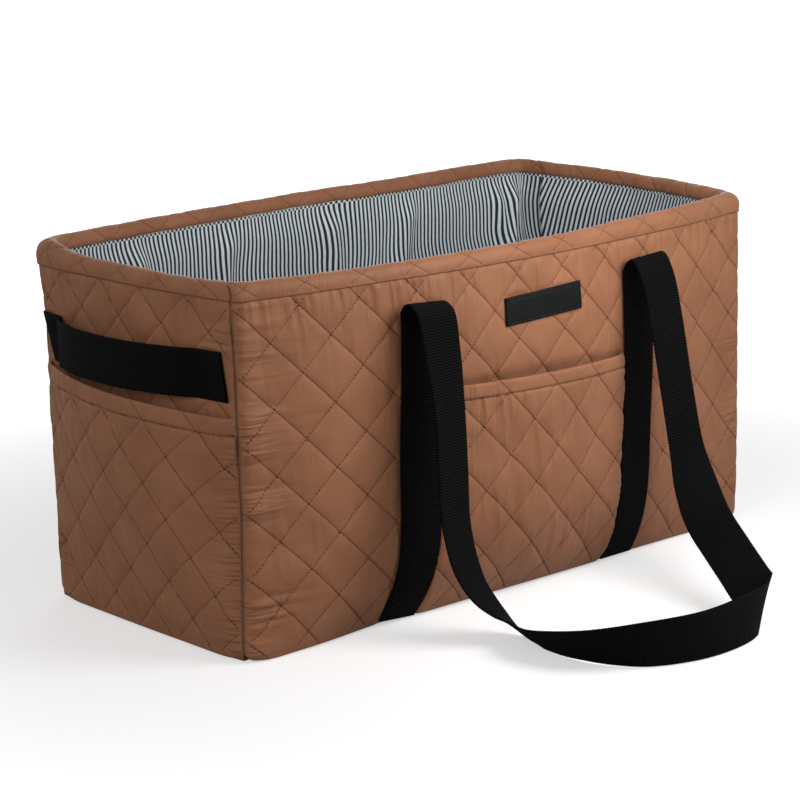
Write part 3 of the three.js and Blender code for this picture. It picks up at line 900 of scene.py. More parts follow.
def make_camera():
    azimuth, elevation = CAMERA_AZIMUTH, CAMERA_ELEVATION
    right = Vector((math.cos(azimuth), math.sin(azimuth), 0))
    back = Vector((
        math.sin(azimuth) * math.cos(elevation),
        -math.cos(azimuth) * math.cos(elevation),
        math.sin(elevation),
    ))
    up = back.cross(right)
    rolled_right = right * math.cos(CAMERA_ROLL) + up * math.sin(CAMERA_ROLL)
    rolled_up = up * math.cos(CAMERA_ROLL) - right * math.sin(CAMERA_ROLL)
    place = (CAMERA_TARGET + back * CAMERA_DISTANCE) * MM
    data = bpy.data.cameras.new("camera")
    data.sensor_width = SENSOR
    data.lens = SENSOR * FOCAL_PX / IMAGE_PX
    data.clip_start, data.clip_end = 0.05, 100
    camera = bpy.data.objects.new("camera", data)
    axes = Matrix((rolled_right, rolled_up, back)).transposed().to_4x4()
    camera.matrix_world = Matrix.Translation(place) @ axes
    bpy.context.scene.collection.objects.link(camera)
    bpy.context.scene.camera = camera


make_camera()


# Quilted walls

def rows_from(low, high, step):
    """Heights from low to high, closer together round the bottom edge."""
    count = max(2, round((high - FOOT_ROWS_TOP) / step))
    rest = np.linspace(FOOT_ROWS_TOP, high, count)
    return np.concatenate([FOOT_ROWS[FOOT_ROWS >= low], rest])


def spread(low, high, step):
    return np.linspace(low, high, max(3, round((high - low) / step) + 1))


def gathers(t, z, to_edge, tall, reach, width, length, seed):
    """Puckers of a width and length, which die out with the distance to an edge."""
    return tall * np.exp(-to_edge / reach) * ridges(t / width, z / length, seed)


def firm(z):
    """Share of a panel's relief at height z: none at its foot, where it is pulled flat."""
    return smoothstep(0, FIRM_FROM, z)


def calm(to_seam, along):
    """Share of the seam puckers that stays: none on the seam, few where along is above 0."""
    return smoothstep(0, SEWN_FLAT, to_seam) * (1 - CALM_SHARE * smoothstep(0, CALM_ALONG, along))


def flattened(quilt, t, z, to_seam):
    """The puffs of a quilt, lower beside a seam."""
    return quilt.puff(t, z) * (1 - FLAT_SHARE * np.exp(-((to_seam / FLAT_REACH) ** 2)))


def bundles(low, high, t, z, seed):
    """Share of the seam puckers at a place: they come in bundles up the seam."""
    return smoothstep(low, high, noise(t / BUNDLE_WIDTH, z / BUNDLE_HEIGHT, seed))


def painted_seam_shade(to_seam):
    """Painted shade along a seam, as darkness for the material."""
    return PAINTED_SEAM_SHADE * np.exp(-((to_seam / PAINTED_SEAM_SHADE_WIDTH) ** 2))


def shell_height(quilt, edge, cover, seed, hollow, calm_side):
    """Height of a wall's quilted face: puffs, puckers beside the seams, creases and the rounded foot."""

    def height(t, z):
        covered = cover(t, z)
        to_seam = np.clip(edge - np.abs(t), 0, None)
        to_top = np.clip(SEAM_Z - z, 0, None)
        leaned = t + GATHER_LEAN * z
        gather = gathers(leaned, z, to_top, tall=1.3, reach=30, width=5.6, length=46, seed=seed)
        pull = gathers(t, z, to_seam, tall=1.9, reach=30, width=52, length=5.2, seed=seed + 1)
        pull = pull * bundles(-0.6, 0.4, t, z, seed + 5) * calm(to_seam, calm_side * t)
        patchy = smoothstep(-0.3, 0.6, noise(t / 48, z / 48, seed + 2))
        crinkle = 0.7 * patchy * ridges(t / 8.5 + z / 60, z / 36 - t / 90, seed + 3)
        seam = -0.7 * np.exp(-to_seam / 0.9)
        relief = (flattened(quilt, t, z, to_seam) + crinkle) * firm(z) + gather + pull
        open_height = relief * smoothstep(0, 5, to_top) + seam
        return open_height * (1 - covered) - 0.5 * covered - foot_inset(z, to_seam) - hollow(t, z)

    return height


def band_cover(t, middle, half):
    """1 within half of the middle line, falling to 0 just outside it."""
    return 1 - smoothstep(half - COVER_INSIDE, half + COVER_OUTSIDE, np.abs(t - middle))


def strap_cover(t, z):
    beside = band_cover(np.abs(t), strap_x(z, t), WEB_WIDTH / 2)
    return beside * (1 - smoothstep(FOLD_Z + 2, FOLD_Z + 9, z))


def front_cover(t, z):
    pocket = band_cover(t, 0, POCKET_COVER_HALF)
    pocket = POCKET_COVER * pocket * (1 - smoothstep(POCKET_TOP - 14, POCKET_TOP - 4, z))
    label = band_cover(t, LABEL_MIDDLE[0], LABEL_HALF[0])
    label = label * band_cover(z, LABEL_MIDDLE[1], LABEL_HALF[1])
    return np.maximum(np.maximum(pocket, label), strap_cover(t, z))


def no_hollow(t, z):
    return 0.0


def pocket_mouth(t, z):
    """How far the front wall draws in behind the mouth of its pocket."""
    above = z - (POCKET_TOP - MOUTH_DROP) - POCKET_SLOPE * t
    return MOUTH_DEPTH * band_cover(t, 0, POCKET_COVER_HALF) * np.exp(-((above / MOUTH_REACH) ** 2))


def end_cover(t, z):
    pocket = POCKET_COVER * (1 - smoothstep(END_POCKET_TOP - 26, END_POCKET_TOP - 14, z))
    tabs = band_cover(np.abs(t), (GRAB_TAB_INS[1] + GRAB_TAB_OUT) / 2, 14)
    tabs = tabs * band_cover(z, GRAB_MIDDLE, WEB_WIDTH / 2)
    return np.maximum(pocket, tabs)


FRONT_QUILT = Quilt(-245, 242, *DIAMOND, seed=100, drift=(0.06, 0.19))
BACK_QUILT = Quilt(-238, 242, *DIAMOND, seed=110)
LEFT_QUILT = Quilt(20, 278, *END_DIAMOND, seed=120)
RIGHT_QUILT = Quilt(14, 278, *END_DIAMOND, seed=130)


def make_wall(name, wall, quilt, cover, step, seed, hollow=no_hollow):
    edge = wall.limit
    calm_side = 1 if wall.turn % 2 == 0 else -1
    cloth = Cloth(wall.face, shell_height(quilt, edge, cover, seed, hollow, calm_side))

    def depth(t, z):
        return SHELL_T + np.minimum(foot_inset(z, edge - np.abs(t)), FOOT_R)

    def marks(t, z):
        # The corner seams get painted shade along them.
        return quilt.marks(t, z, painted_seam_shade(edge - np.abs(t)))

    def strain(t, z):
        level = np.exp(-(edge - np.abs(t)) / 30) * bundles(-0.7, 0.5, t, z, seed + 5)
        return 0.3 + 0.7 * np.exp(-(SEAM_Z - z) / 32) - 1.5 * level

    panel = make_slab(
        f"{name}_quilted_panel", cloth, spread(-edge + SEAM_GAP, edge - SEAM_GAP, step),
        rows_from(PANEL_LOW, PANEL_TOP, step), depth, marks, NYLON,
        (f"{name}_panel",), strain=strain,
    )

    def shown(t, z):
        return cover(t, z) < SHOWN_BELOW

    reach = edge - THREAD_INSET
    runs = quilt.lines(-reach, reach, PANEL_THREAD_LOW, PANEL_TOP - 2, shown)
    make_stitches(f"{name}_quilting_thread", cloth, runs, THREAD)


make_wall("front", FRONT, FRONT_QUILT, front_cover, step=1.5, seed=200, hollow=pocket_mouth)
make_wall("back", BACK, BACK_QUILT, strap_cover, step=2.0, seed=220)
make_wall("left_end", LEFT, LEFT_QUILT, end_cover, step=1.6, seed=240)
make_wall("right_end", RIGHT, RIGHT_QUILT, end_cover, step=1.8, seed=260)


# Rolled rim

RIM_SHOWN = np.array([
    (-0.5, 278.1), (-0.8, 279.6), (-1.0, 284.8), (-0.6, 289.0), (0.4, 293.0), (2.4, 296.2),
    (5.2, 297.9), (8.2, 297.2), (10.4, 295.0), (11.5, 292.0), (11.8, 288.8), (11.2, 286.4),
])
RIM_HIDDEN = np.array([(9.3, 286.6), (8.9, 289.8), (5.2, 290.2), (4.9, 280.4), (0.2, 279.0)])
RIM_DEEP = 12.0
RIM_HIGH = 19.0
RIM_STEP = 1.7
RIM_COLUMNS = 30
RIM_SEWN_AT = 1.2
RIM_SEWN_PAST = 24
RIM_QUILT = Quilt(-245, -11, *DIAMOND, seed=140, groove=0.5, dome=0.25)

# How far the crown of the rim lies above its even height, going round from the front left corner:
# the number of the wall and the share of the way along it, then the height.
RIM_SWAY = np.array([
    (0.0, -5.4), (0.1, -7.0), (0.25, -7.1), (0.5, -6.4), (0.75, -4.6), (0.95, -3.6), (1.0, -2.0),
    (1.5, 1.3), (1.9, 5.0), (2.0, 5.6), (2.05, 6.6), (2.2, 6.2), (2.5, 5.0), (2.65, 3.5), (2.8, 2.8),
    (3.0, 1.8), (3.12, -4.0), (3.3, -6.2), (3.5, -6.0), (3.75, -7.4), (3.9, -7.2), (4.0, -5.4),
])


def rim_sway(wall, share):
    """Height of the rim's crown above the even one at a share of the wall, from -1 to 1."""
    return eased(wall.turn + (share + 1) / 2, RIM_SWAY, 0.05, period=4)


def smooth_curve(points, per_span=16):
    """A smooth open curve through points, as many points and the run along it."""
    ends = np.concatenate([[2 * points[0] - points[1]], points, [2 * points[-1] - points[-2]]])
    share = np.linspace(0, 1, per_span, endpoint=False)[:, None]
    parts = []
    for before, start, end, after in zip(ends, ends[1:], ends[2:], ends[3:]):
        parts.append(0.5 * (
            2 * start + (end - before) * share
            + (2 * before - 5 * start + 4 * end - after) * share ** 2
            + (3 * start - before - 3 * end + after) * share ** 3
        ))
    curve = np.concatenate([*parts, points[-1:]])
    return curve, path_lengths(curve)


class Rim:
    """The rolled rim over (t, w): t runs round the bag from the middle of the front, w over the roll."""

    def __init__(self, step):
        inner_walls = ring_of_walls(RIM_DEEP, INNER_CUT, INNER_CUT)
        outer, inner, runs, seams, sway = [], [], [], [], []
        passed = -FRONT.limit
        for wall, within in zip(WALLS, inner_walls):
            share = np.linspace(-1, 1, round(2 * wall.limit / step), endpoint=False)
            level = np.full(len(share), float(SEAM_Z))
            outer.append(wall.face(share * wall.limit, level))
            inner.append(within.face(share * within.limit, level))
            runs.append(passed + (share + 1) * wall.limit)
            sway.append(rim_sway(wall, share))
            seams.append(passed)
            passed += 2 * wall.limit
        self.outer, self.inner = np.concatenate(outer), np.concatenate(inner)
        self.runs, self.sway = np.concatenate(runs), np.concatenate(sway)
        self.around = passed + FRONT.limit
        self.seams = seams
        self.section, self.over = smooth_curve(RIM_SHOWN)

    def at(self, t, depth, z):
        """The point at a depth behind the outer face, at the height z of an even rim."""
        place = []
        for axis in (0, 1):
            out = np.interp(t, self.runs, self.outer[:, axis], period=self.around)
            within = np.interp(t, self.runs, self.inner[:, axis], period=self.around)
            place.append(out + (within - out) * depth / RIM_DEEP)
        sway = np.interp(t, self.runs, self.sway, period=self.around)
        sway = sway + 0.4 * noise(t / 80, 0 * t, 303)
        follow = np.where(depth > 5, 1, np.clip((z - SEAM_Z) / RIM_HIGH, 0, 1))
        return np.stack([*place, z + sway * follow], -1)

    def base(self, t, w):
        t, w = np.broadcast_arrays(t, w)
        depth = np.interp(w, self.over, self.section[:, 0])
        return self.at(t, depth, np.interp(w, self.over, self.section[:, 1]))

    def seam_line(self, t, width):
        """1 on the short seams that cross the roll above the corner seams."""
        return sum(np.exp(-(((t - seam) / width) ** 2)) for seam in self.seams)

    def height(self, t, w):
        near_edge = np.exp(-np.minimum(w, self.over[-1] - w) / 8)
        pucker = 0.35 * near_edge * noise(t / 3.1, w / 18, 300) + 0.18 * noise(t / 9, w / 10, 301)
        bend = 0.5 * noise(t / 60, w / 60, 302)
        sewn = -0.7 * self.seam_line(t, 1.4)
        return (RIM_QUILT.puff(t, w) + pucker + bend) * smoothstep(-1, 4, w) + sewn

    def marks(self, t, w):
        # The short seams across the roll get painted shade. Elsewhere the value stays below 0, which
        # weakens the painted crease shade of the roll's quilting lines.
        return RIM_QUILT.marks(t, w, np.minimum(self.seam_line(t, 1.2), 1) - 0.45)


def make_rim():
    rim = Rim(RIM_STEP)
    cloth = Cloth(rim.base, rim.height)
    w = np.linspace(0, rim.over[-1], RIM_COLUMNS)
    t, w = np.broadcast_arrays(rim.runs[:, None], w[None, :])
    hidden_t, depth = np.broadcast_arrays(rim.runs[:, None], RIM_HIDDEN[None, :, 0])
    hidden = rim.at(hidden_t, depth, np.broadcast_to(RIM_HIDDEN[None, :, 1], depth.shape))
    rings = np.concatenate([cloth.place(t, w), hidden], 1)
    all_t, all_w = np.concatenate([t, hidden_t], 1), np.concatenate([w, 0 * hidden_t], 1)
    values = cloth_values(all_t, all_w, 0.3)
    plain = np.broadcast_to(UNMARKED, (*hidden_t.shape, 3))
    marks = np.concatenate([rim.marks(t, w), plain], 1).reshape(-1, 3)
    piece = make_piece(
        "quilted_rim_roll", tube_mesh(rings, closed=True), values, NYLON,
        ("rim_roll",), marks=marks,
    )
    low, high = -FRONT.limit, rim.around - FRONT.limit
    runs = RIM_QUILT.lines(low, high, 2.5, rim.over[-1] - 2)
    for seam, wall in zip(rim.seams, WALLS):
        if wall in (LEFT, RIGHT):
            last = seam + 2 * wall.limit + RIM_SEWN_PAST
            seam_t = np.arange(seam - RIM_SEWN_PAST, last, 2.0)
            runs.append(np.stack([seam_t, np.full(len(seam_t), RIM_SEWN_AT)], -1))
    make_stitches("rim_quilting_thread", cloth, runs, THREAD, radius=0.27)


make_rim()


# Base

def base_edge(y):
    """Half length of the base at y, inside its rounded bottom edge and corners."""
    past = np.clip(np.abs(y) - (END_HALF - BASE_INSET - BASE_R), 0, BASE_R)
    return LONG_HALF - BASE_INSET - BASE_R + np.sqrt(np.maximum(BASE_R ** 2 - past ** 2, 1.0))


def make_base():
    quilt = Quilt(0, 0, *DIAMOND, seed=150)
    y_edge = END_HALF - BASE_INSET - 0.5
    y = spread(-y_edge, y_edge, 3.0)
    share = np.linspace(-1, 1, 181)
    x = base_edge(y)[:, None] * share[None, :]
    y = np.broadcast_to(y[:, None], x.shape)

    def under(a, b):
        a, b = np.broadcast_arrays(a, b)
        toe = TOE[0, 1] * toe_share(a) * smoothstep(0, END_HALF, b)
        return np.stack([a, -b - toe, np.full(a.shape, BASE_Z)], -1)

    def swell(a, b):
        return np.clip(quilt.puff(a, b), -1.5, 1.4)

    cloth = Cloth(under, swell)
    panel = make_slab(
        "base_quilted_panel", cloth, x, y, BASE_T, quilt.marks, NYLON,
        ("base_panel",), stride=12,
    )


make_base()
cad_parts["base_board"].data.materials.clear()
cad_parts["base_board"].data.materials.append(BOARD)


# Foam and lining

def under_rim(wall, top):
    """The face of an inner layer whose top edge, at that height, follows the rim up and down."""
    return lambda t, z: wall.face(t, z + rim_sway(wall, t / wall.limit) * smoothstep(140, top, z))


def make_foam(name, wall):
    def height(t, z):
        return 0.12 * noise(t / 6, z / 6, 320 + wall.turn)

    cloth = Cloth(under_rim(wall, FOAM_TOP), height)
    edge = wall.limit - 0.5
    foam = make_slab(
        f"{name}_foam_sheet", cloth, spread(-edge, edge, 7), spread(8.4, FOAM_TOP, 7),
        FOAM_T, None, FOAM, (f"{name}_foam",), stride=2,
    )


def lining_fold(wall, t, z):
    """How far the loose lining stands in from the wall."""
    hang = smoothstep(0, 26, LINING_TOP - z) * smoothstep(0, 30, z - LINING_LOW)
    low = 0.8 * (1 + noise(t / 34 + z / 150, z / 120, 330 + wall.turn))
    soft = 2.0 * (1 + noise(t / 70 - z / 190, z / 95, 336 + wall.turn))
    fold = low + soft
    if wall.turn == 2:
        for at, lean, width, tall in BACK_FOLDS:
            fold = fold + tall * np.exp(-(((t - at - lean * (LINING_TOP - z)) / width) ** 2))
    return fold * hang


def make_lining(name, wall):
    def height(t, z):
        roll = 0.7 * np.exp(-(((z - LINING_TOP + 1.3) / 1.2) ** 2))
        crinkle = 0.2 * noise(t / 6, z / 34, 342 + wall.turn)
        return -(lining_fold(wall, t, z) + roll + crinkle)

    cloth = Cloth(under_rim(wall, LINING_TOP), height)
    edge = wall.limit - 0.3
    t, z = spread(-edge, edge, 2.6), spread(LINING_LOW, LINING_TOP, 2.8)
    wide_t, tall_z = np.broadcast_arrays(t[None, :], z[:, None])
    inner = cloth.place(wide_t, tall_z)
    outer = inner + cloth.normal(wide_t, tall_z) * LINING_T
    stripe = wide_t + 6.5 * noise(wide_t / 66, tall_z / 40, 348 + wall.turn)
    stripe = stripe + 0.8 * noise(wide_t / 24, tall_z / 26, 352 + wall.turn)
    if wall.turn == 2:
        round_corner = np.clip((-wide_t - wall.edge) / (wall.limit - wall.edge), 0, 1)
        stripe = stripe - BACK_CORNER * round_corner
    if wall.turn == 1:
        leaned = STRIPE_LEAN * (LINING_TOP - tall_z)
        stripe = stripe - leaned * smoothstep(LINING_LOW, LINING_TOP, tall_z)

    def behind(rows, columns):
        return outer[np.ix_(rows, columns)]

    points, quads, triangles, _ = slab_mesh(inner, behind, stride=1)
    values = cloth_values(stripe, tall_z)
    piece = make_piece(
        f"{name}_striped_lining", (points, quads, triangles), np.concatenate([values, values]),
        TICKING, (f"{name}_lining",),
    )


for wall_name, number in (("front", 0), ("right_end", 1), ("back", 2), ("left_end", 3)):
    make_foam(wall_name, FOAM_WALLS[number])
    make_lining(wall_name, LINED_WALLS[number])


def make_base_lining():
    x = spread(-LONG_HALF + BASE_LINING_INSET, LONG_HALF - BASE_LINING_INSET, 4)
    y_edge = END_HALF - BASE_LINING_INSET
    y = spread(-y_edge, y_edge, 4)

    def shape(a, b):
        """The flat sheet, drawn out to the feet of the front and back linings."""
        a, b = np.broadcast_arrays(a, b)
        front, _, back, _ = LINED_WALLS
        reach = np.where(b < 0, front.out(a, LINING_LOW), back.out(-a, LINING_LOW))
        drawn = b * (reach - BASE_LINING_GAP) / y_edge
        return np.stack([a, drawn, np.full(a.shape, float(BASE_LINING_Z))], -1)

    def ripple(a, b):
        return 0.7 * (1 + noise(a / 34, b / 40, 360)) + 0.2 * noise(a / 7, b / 9, 361)

    piece = make_slab(
        "base_striped_lining", Cloth(shape, ripple), x, y, 0.6, None,
        TICKING, ("base_lining",), stride=2,
    )


make_base_lining()


# Webbing

RIBBON_TOP = [(-0.975, 0.75), (-0.9, 1), (-0.5, 1), (0, 1), (0.5, 1), (0.9, 1), (0.975, 0.75)]
RIBBON_SECTION = np.array([(-1, 0), *RIBBON_TOP, (1, 0), *[(-w, -h) for w, h in RIBBON_TOP]])


def no_height(s, z):
    return 0.0 * s


def ribbon_mesh(centres, across, step=1.15):
    """A strip of webbing along a line of centres, with a woven, slightly toothed edge."""
    gone = path_lengths(centres)
    at = np.linspace(0, gone[-1], max(4, round(gone[-1] / step)))
    line = read_along(at, gone, centres)
    wide = unit(read_along(at, gone, across))
    along = unit(np.gradient(line, axis=0))
    thick = unit(np.cross(along, wide))
    tooth = np.where(np.arange(len(at)) % 2 == 0, WEB_TOOTH, -WEB_TOOTH)
    slant = np.sum(wide * along, -1)
    half = (WEB_WIDTH / 2 + tooth) / np.sqrt(1 - np.minimum(slant ** 2, SLANT_LIMIT))
    w, h = RIBBON_SECTION[:, 0], RIBBON_SECTION[:, 1] * WEB_T / 2
    rings = line[:, None, :] + wide[:, None, :] * (half[:, None] * w[None, :])[..., None]
    rings = rings + thick[:, None, :] * h[None, :, None]
    rings[..., 2] = np.maximum(rings[..., 2], FLOOR_CLEAR)
    parts = tube_mesh(rings)
    run_w = np.broadcast_to(w[None, :] * WEB_WIDTH / 2, rings.shape[:2])
    run_z = np.broadcast_to(at[:, None], rings.shape[:2])
    values = cloth_values(run_w, run_z)
    caps = cloth_values(np.zeros(2), np.array([at[0], at[-1]]))
    return parts, np.concatenate([values, caps]), gone[-1]


def make_ribbon(name, centres, across, replaces, body="bag"):
    parts, values, length = ribbon_mesh(centres, across)
    piece = make_piece(name, parts, values, WEBBING, replaces, body)
    return piece


def make_leg(name, wall, side):
    """A sewn leg of a carrying handle, from the bottom edge up to the fold."""
    z = np.linspace(LEG_FOOT, FOLD_Z, LEG_ROWS)

    def off(s, height):
        return LAID_GAP + WEB_T / 2 - foot_inset(height)

    cloth = Cloth(wall.raised(off), no_height)
    middle = side * strap_x(z, side)
    centres = cloth.place(middle, z)
    normal = cloth.normal(middle, z)
    tangent = np.cross(np.gradient(centres, axis=0), normal)
    make_ribbon(name.replace("strap", "webbing_leg"), centres, tangent, (name,))
    runs = []
    for edge in (LEG_SEWN - WEB_WIDTH / 2, WEB_WIDTH / 2 - LEG_SEWN):
        runs.append(np.stack([middle + edge, z], -1)[4:-2])
    reach = WEB_WIDTH / 2 - WEB_SEWN
    for height in LEG_SEWN_ACROSS:
        at = side * strap_x(height, side)
        runs.append(np.array([(at - reach, height), (at + reach, height)], float))
    top = Cloth(wall.raised(lambda s, height: off(s, height) + WEB_T / 2 + THREAD_GAP), no_height)
    make_stitches(
        name.replace("strap", "webbing_stitch"), top, runs, BLACK_THREAD,
        pitch=3.4, length=2.4, radius=0.32,
    )
    return centres[-1], unit(tangent[-1])


def centripetal(points, per_span=12):
    """A smooth curve through points, without loops where they lie close together."""
    points = np.asarray(points, float)
    points = np.concatenate([[2 * points[0] - points[1]], points, [2 * points[-1] - points[-2]]])
    knots = np.concatenate(
        [[0], np.cumsum(np.sqrt(np.linalg.norm(np.diff(points[:, :3], axis=0), axis=1)))]
    )
    curve = []
    for i in range(1, len(points) - 2):
        k = knots[i - 1: i + 3]
        p = points[i - 1: i + 3]
        u = np.linspace(k[1], k[2], per_span, endpoint=False)[:, None]

        def between(low, high, first, second):
            return ((high - u) * first + (u - low) * second) / (high - low)

        a = [between(k[j], k[j + 1], p[j], p[j + 1]) for j in range(3)]
        b = [between(k[j], k[j + 2], a[j], a[j + 1]) for j in range(2)]
        curve.append(between(k[1], k[2], b[0], b[1]))
    return np.concatenate([*curve, points[-2][None]])


def make_handle(name, wall, axis):
    """The free loop of a carrying handle, with both of its sewn legs."""
    flip = 1 if wall is FRONT else -1
    ends = []
    for side in (-1, 1):
        word = "left" if side * flip < 0 else "right"
        ends.append(make_leg(f"{name}_strap_{word}", wall, side))
    rows = []
    for x, out, z, wide_x, wide_y, wide_z in HANDLE_ROUTE:
        rows.append((flip * x, -flip * (axis + out), z, flip * wide_x, flip * wide_y, wide_z))
    rows = np.array(rows, float)
    rows[:, 3:] = unit(rows[:, 3:])
    caps = []
    for (point, tangent), near in zip(ends, (rows[0], rows[-1])):
        facing = tangent if tangent @ near[3:] > 0 else -tangent
        caps.append(np.concatenate([point, facing]))
    curve = centripetal(np.concatenate([caps[:1], rows, caps[1:]]))
    loop = make_ribbon(
        f"{name}_webbing_loop", curve[:, :3], curve[:, 3:], (f"{name}_handle",), None
    )
    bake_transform(loop)


make_handle("front", FRONT, FRONT_AXIS)
make_handle("back", BACK, BACK_AXIS)


# Label

def make_label():
    middle_s, middle_z = LABEL_MIDDLE
    half_w, half_h = LABEL_HALF
    turned = FRONT.raised(lambda s, z: LAID_GAP)

    def base(s, z):
        side, rise = s - middle_s, z - middle_z
        return turned(middle_s + side - LABEL_TILT * rise, middle_z + rise + LABEL_TILT * side)

    def height(s, z):
        inside = np.minimum(half_w - np.abs(s - middle_s), half_h - np.abs(z - middle_z))
        rounded = LABEL_T * np.sqrt(np.clip(1 - (1 - np.clip(inside / 1.1, 0, 1)) ** 2, 0, 1))
        pressed = -0.3 * np.exp(-(((inside - LABEL_SEWN) / 0.7) ** 2))
        return 0.1 + rounded + pressed + 0.15 * noise(s / 14, z / 14, 370)

    cloth = Cloth(base, height)
    make_slab(
        "bare_leather_label", cloth, spread(LABEL_LEFT, LABEL_RIGHT, 0.8),
        spread(LABEL_LOW, LABEL_HIGH, 0.7), 0.0, None,
        LEATHER, ("label_patch",), stride=6,
    )
    sides = (LABEL_LEFT + LABEL_SEWN, LABEL_RIGHT - LABEL_SEWN)
    heights = (LABEL_LOW + LABEL_SEWN, LABEL_HIGH - LABEL_SEWN)
    runs = [np.array([(s, z) for s in sides]) for z in heights]
    runs += [np.array([(s, z) for z in heights]) for s in sides]
    make_stitches(
        "label_stitching", cloth, runs, GREY_THREAD,
        pitch=3.0, length=1.9, radius=0.3,
    )


make_label()


# Front pocket

def pocket_half(s, z):
    """Half width of the front pocket at height z, on the side of s."""
    return strap_x(z, s) - WEB_WIDTH / 2 - 0.6


def front_pocket_z(s, z):
    """The pocket's own height z, leaned with its sloping top edge."""
    return z + POCKET_SLOPE * s * z / POCKET_TOP


def front_pocket_off(s, z):
    side = np.clip(1 - (s / pocket_half(s, z)) ** 2, 0, 1)
    return LAID_GAP + POCKET_T + POCKET_SWELL * side * z / POCKET_TOP


def pocket_wrinkles(s, z, to_side, crinkle, slump, seeds):
    """Creases in patches, and the slow slump of a pocket that hangs loose between its sides."""
    patch_seed, crease_seed, slump_seed = seeds
    patchy = smoothstep(-0.5, 0.5, noise(s / 44, z / 44, patch_seed))
    creases = crinkle * patchy * ridges(s / 8 + z / 70, z / 44, crease_seed)
    return creases + slump * noise(s / 75, z / 70, slump_seed) * smoothstep(0, 25, to_side)


def make_front_pocket():
    quilt = Quilt(9, 177, *POCKET_DIAMOND, seed=160, lean=-0.06)
    hem_z = POCKET_TOP - BINDING_H

    def base(s, z):
        s, z = np.broadcast_arrays(s, z)
        high = front_pocket_z(s, z)
        return FRONT.world(s, FRONT.out(s, high) + front_pocket_off(s, z), high)

    def height(s, z):
        to_side = np.clip(pocket_half(s, z) - np.abs(s), 0, None)
        to_hem = np.clip(hem_z - z, 0, None)
        gather = gathers(s, z, to_hem, tall=0.7, reach=28, width=5.2, length=44, seed=380)
        pull = gathers(s, z, to_side, tall=0.4, reach=20, width=30, length=5, seed=381)
        loose = pocket_wrinkles(s, z, to_side, crinkle=0.85, slump=1.6, seeds=(383, 382, 384))
        seam = -1.4 * np.exp(-to_side / 2.6) - 1.3 * np.exp(-to_hem / 2)
        return (quilt.puff(s, z) + loose) * firm(z) + gather + pull + seam - foot_inset(z)

    def strain(s, z):
        return 0.4 + 0.6 * np.exp(-(hem_z - z) / 30)

    def depth(s, z):
        return POCKET_T - 0.6 + np.minimum(foot_inset(z), 1.5)

    cloth = Cloth(base, height)
    z = rows_from(POCKET_LOW, hem_z, 1.5)
    share = np.linspace(-1, 1, 141)
    z, share = np.broadcast_arrays(z[:, None], share[None, :])
    s = (pocket_half(share, z) - SEAM_GAP) * share
    pocket = make_slab(
        "front_quilted_pocket", cloth, s, z, depth, quilt.marks, NYLON,
        ("front_pocket",), strain=strain,
    )

    def inside(a, b):
        return np.abs(a) < pocket_half(a, b) - POCKET_THREAD_INSET

    runs = quilt.lines(-POCKET_THREAD_REACH, POCKET_THREAD_REACH, POCKET_THREAD_LOW, hem_z - 1, inside)
    make_stitches("front_pocket_quilting_thread", cloth, runs, THREAD)
    along = np.linspace(-1, 1, 190)
    make_hem_band(
        "front_pocket_bound_edge", base, along * (pocket_half(along, POCKET_TOP) - SEAM_GAP),
        hem_z, POCKET_TOP, quilt, 390, ("front_pocket_binding",),
    )


def make_hem_band(name, base, s, low, high, quilt, seed, replaces):
    """A folded hem along the top of a pocket: a flat roll, puckered beside its stitch line."""
    middle, half = (low + high) / 2, (high - low) / 2

    def roll(z):
        """Share of the half thickness at which the roll's outer side stands at height z."""
        rise = np.clip(np.abs(z - middle) / half, 0, 1) ** (1 / HEM_POWER)
        return np.sqrt(1 - rise ** 2) ** HEM_POWER

    def pucker(a, b):
        fine = 0.5 * noise(a / 3.1, b / 9, seed) * np.exp(-(b - low) / 9)
        wide = 0.3 * noise(a / 14, b / 14, seed + 1)
        return fine + wide + 0.4 * quilt.puff(a, b)

    def outer(a, b):
        drawn_in = 1.6 * np.exp(-np.minimum(a - s[0], s[-1] - a) / 3)
        return HEM_T / 2 * (roll(b) - 1) + HEM_OUT + pucker(a, b) * roll(b) - drawn_in

    turns = np.linspace(0, 2 * math.pi, 30, endpoint=False)
    z = middle + half * np.sign(np.sin(turns)) * np.abs(np.sin(turns)) ** HEM_POWER
    grid_s, grid_z = np.broadcast_arrays(s[:, None], z[None, :])
    is_outer = np.broadcast_to(np.cos(turns)[None, :] > 0, grid_s.shape)
    inner = HEM_OUT - HEM_T / 2 * (1 + roll(grid_z))
    cloth = Cloth(base, lambda a, b: np.where(is_outer, outer(a, b), inner))
    rings = cloth.place(grid_s, grid_z)
    caps = cloth_values(s[[0, -1]], np.full(2, middle))
    values = np.concatenate([cloth_values(grid_s, grid_z, 0.8), caps])
    marks = np.where(is_outer[..., None], quilt.marks(grid_s, grid_z), UNMARKED).reshape(-1, 3)
    marks = np.concatenate([marks, np.tile(UNMARKED, (2, 1))])
    band = make_piece(
        name, tube_mesh(rings), values, NYLON, replaces, marks=marks
    )
    run = np.stack([s, np.full(len(s), low + HEM_SEWN)], -1)
    make_stitches(
        f"{name}_stitching", Cloth(base, outer), [run[2:-2]], THREAD,
        pitch=3.1, length=1.6, radius=0.2,
    )


make_front_pocket()


# End pockets and grab handles

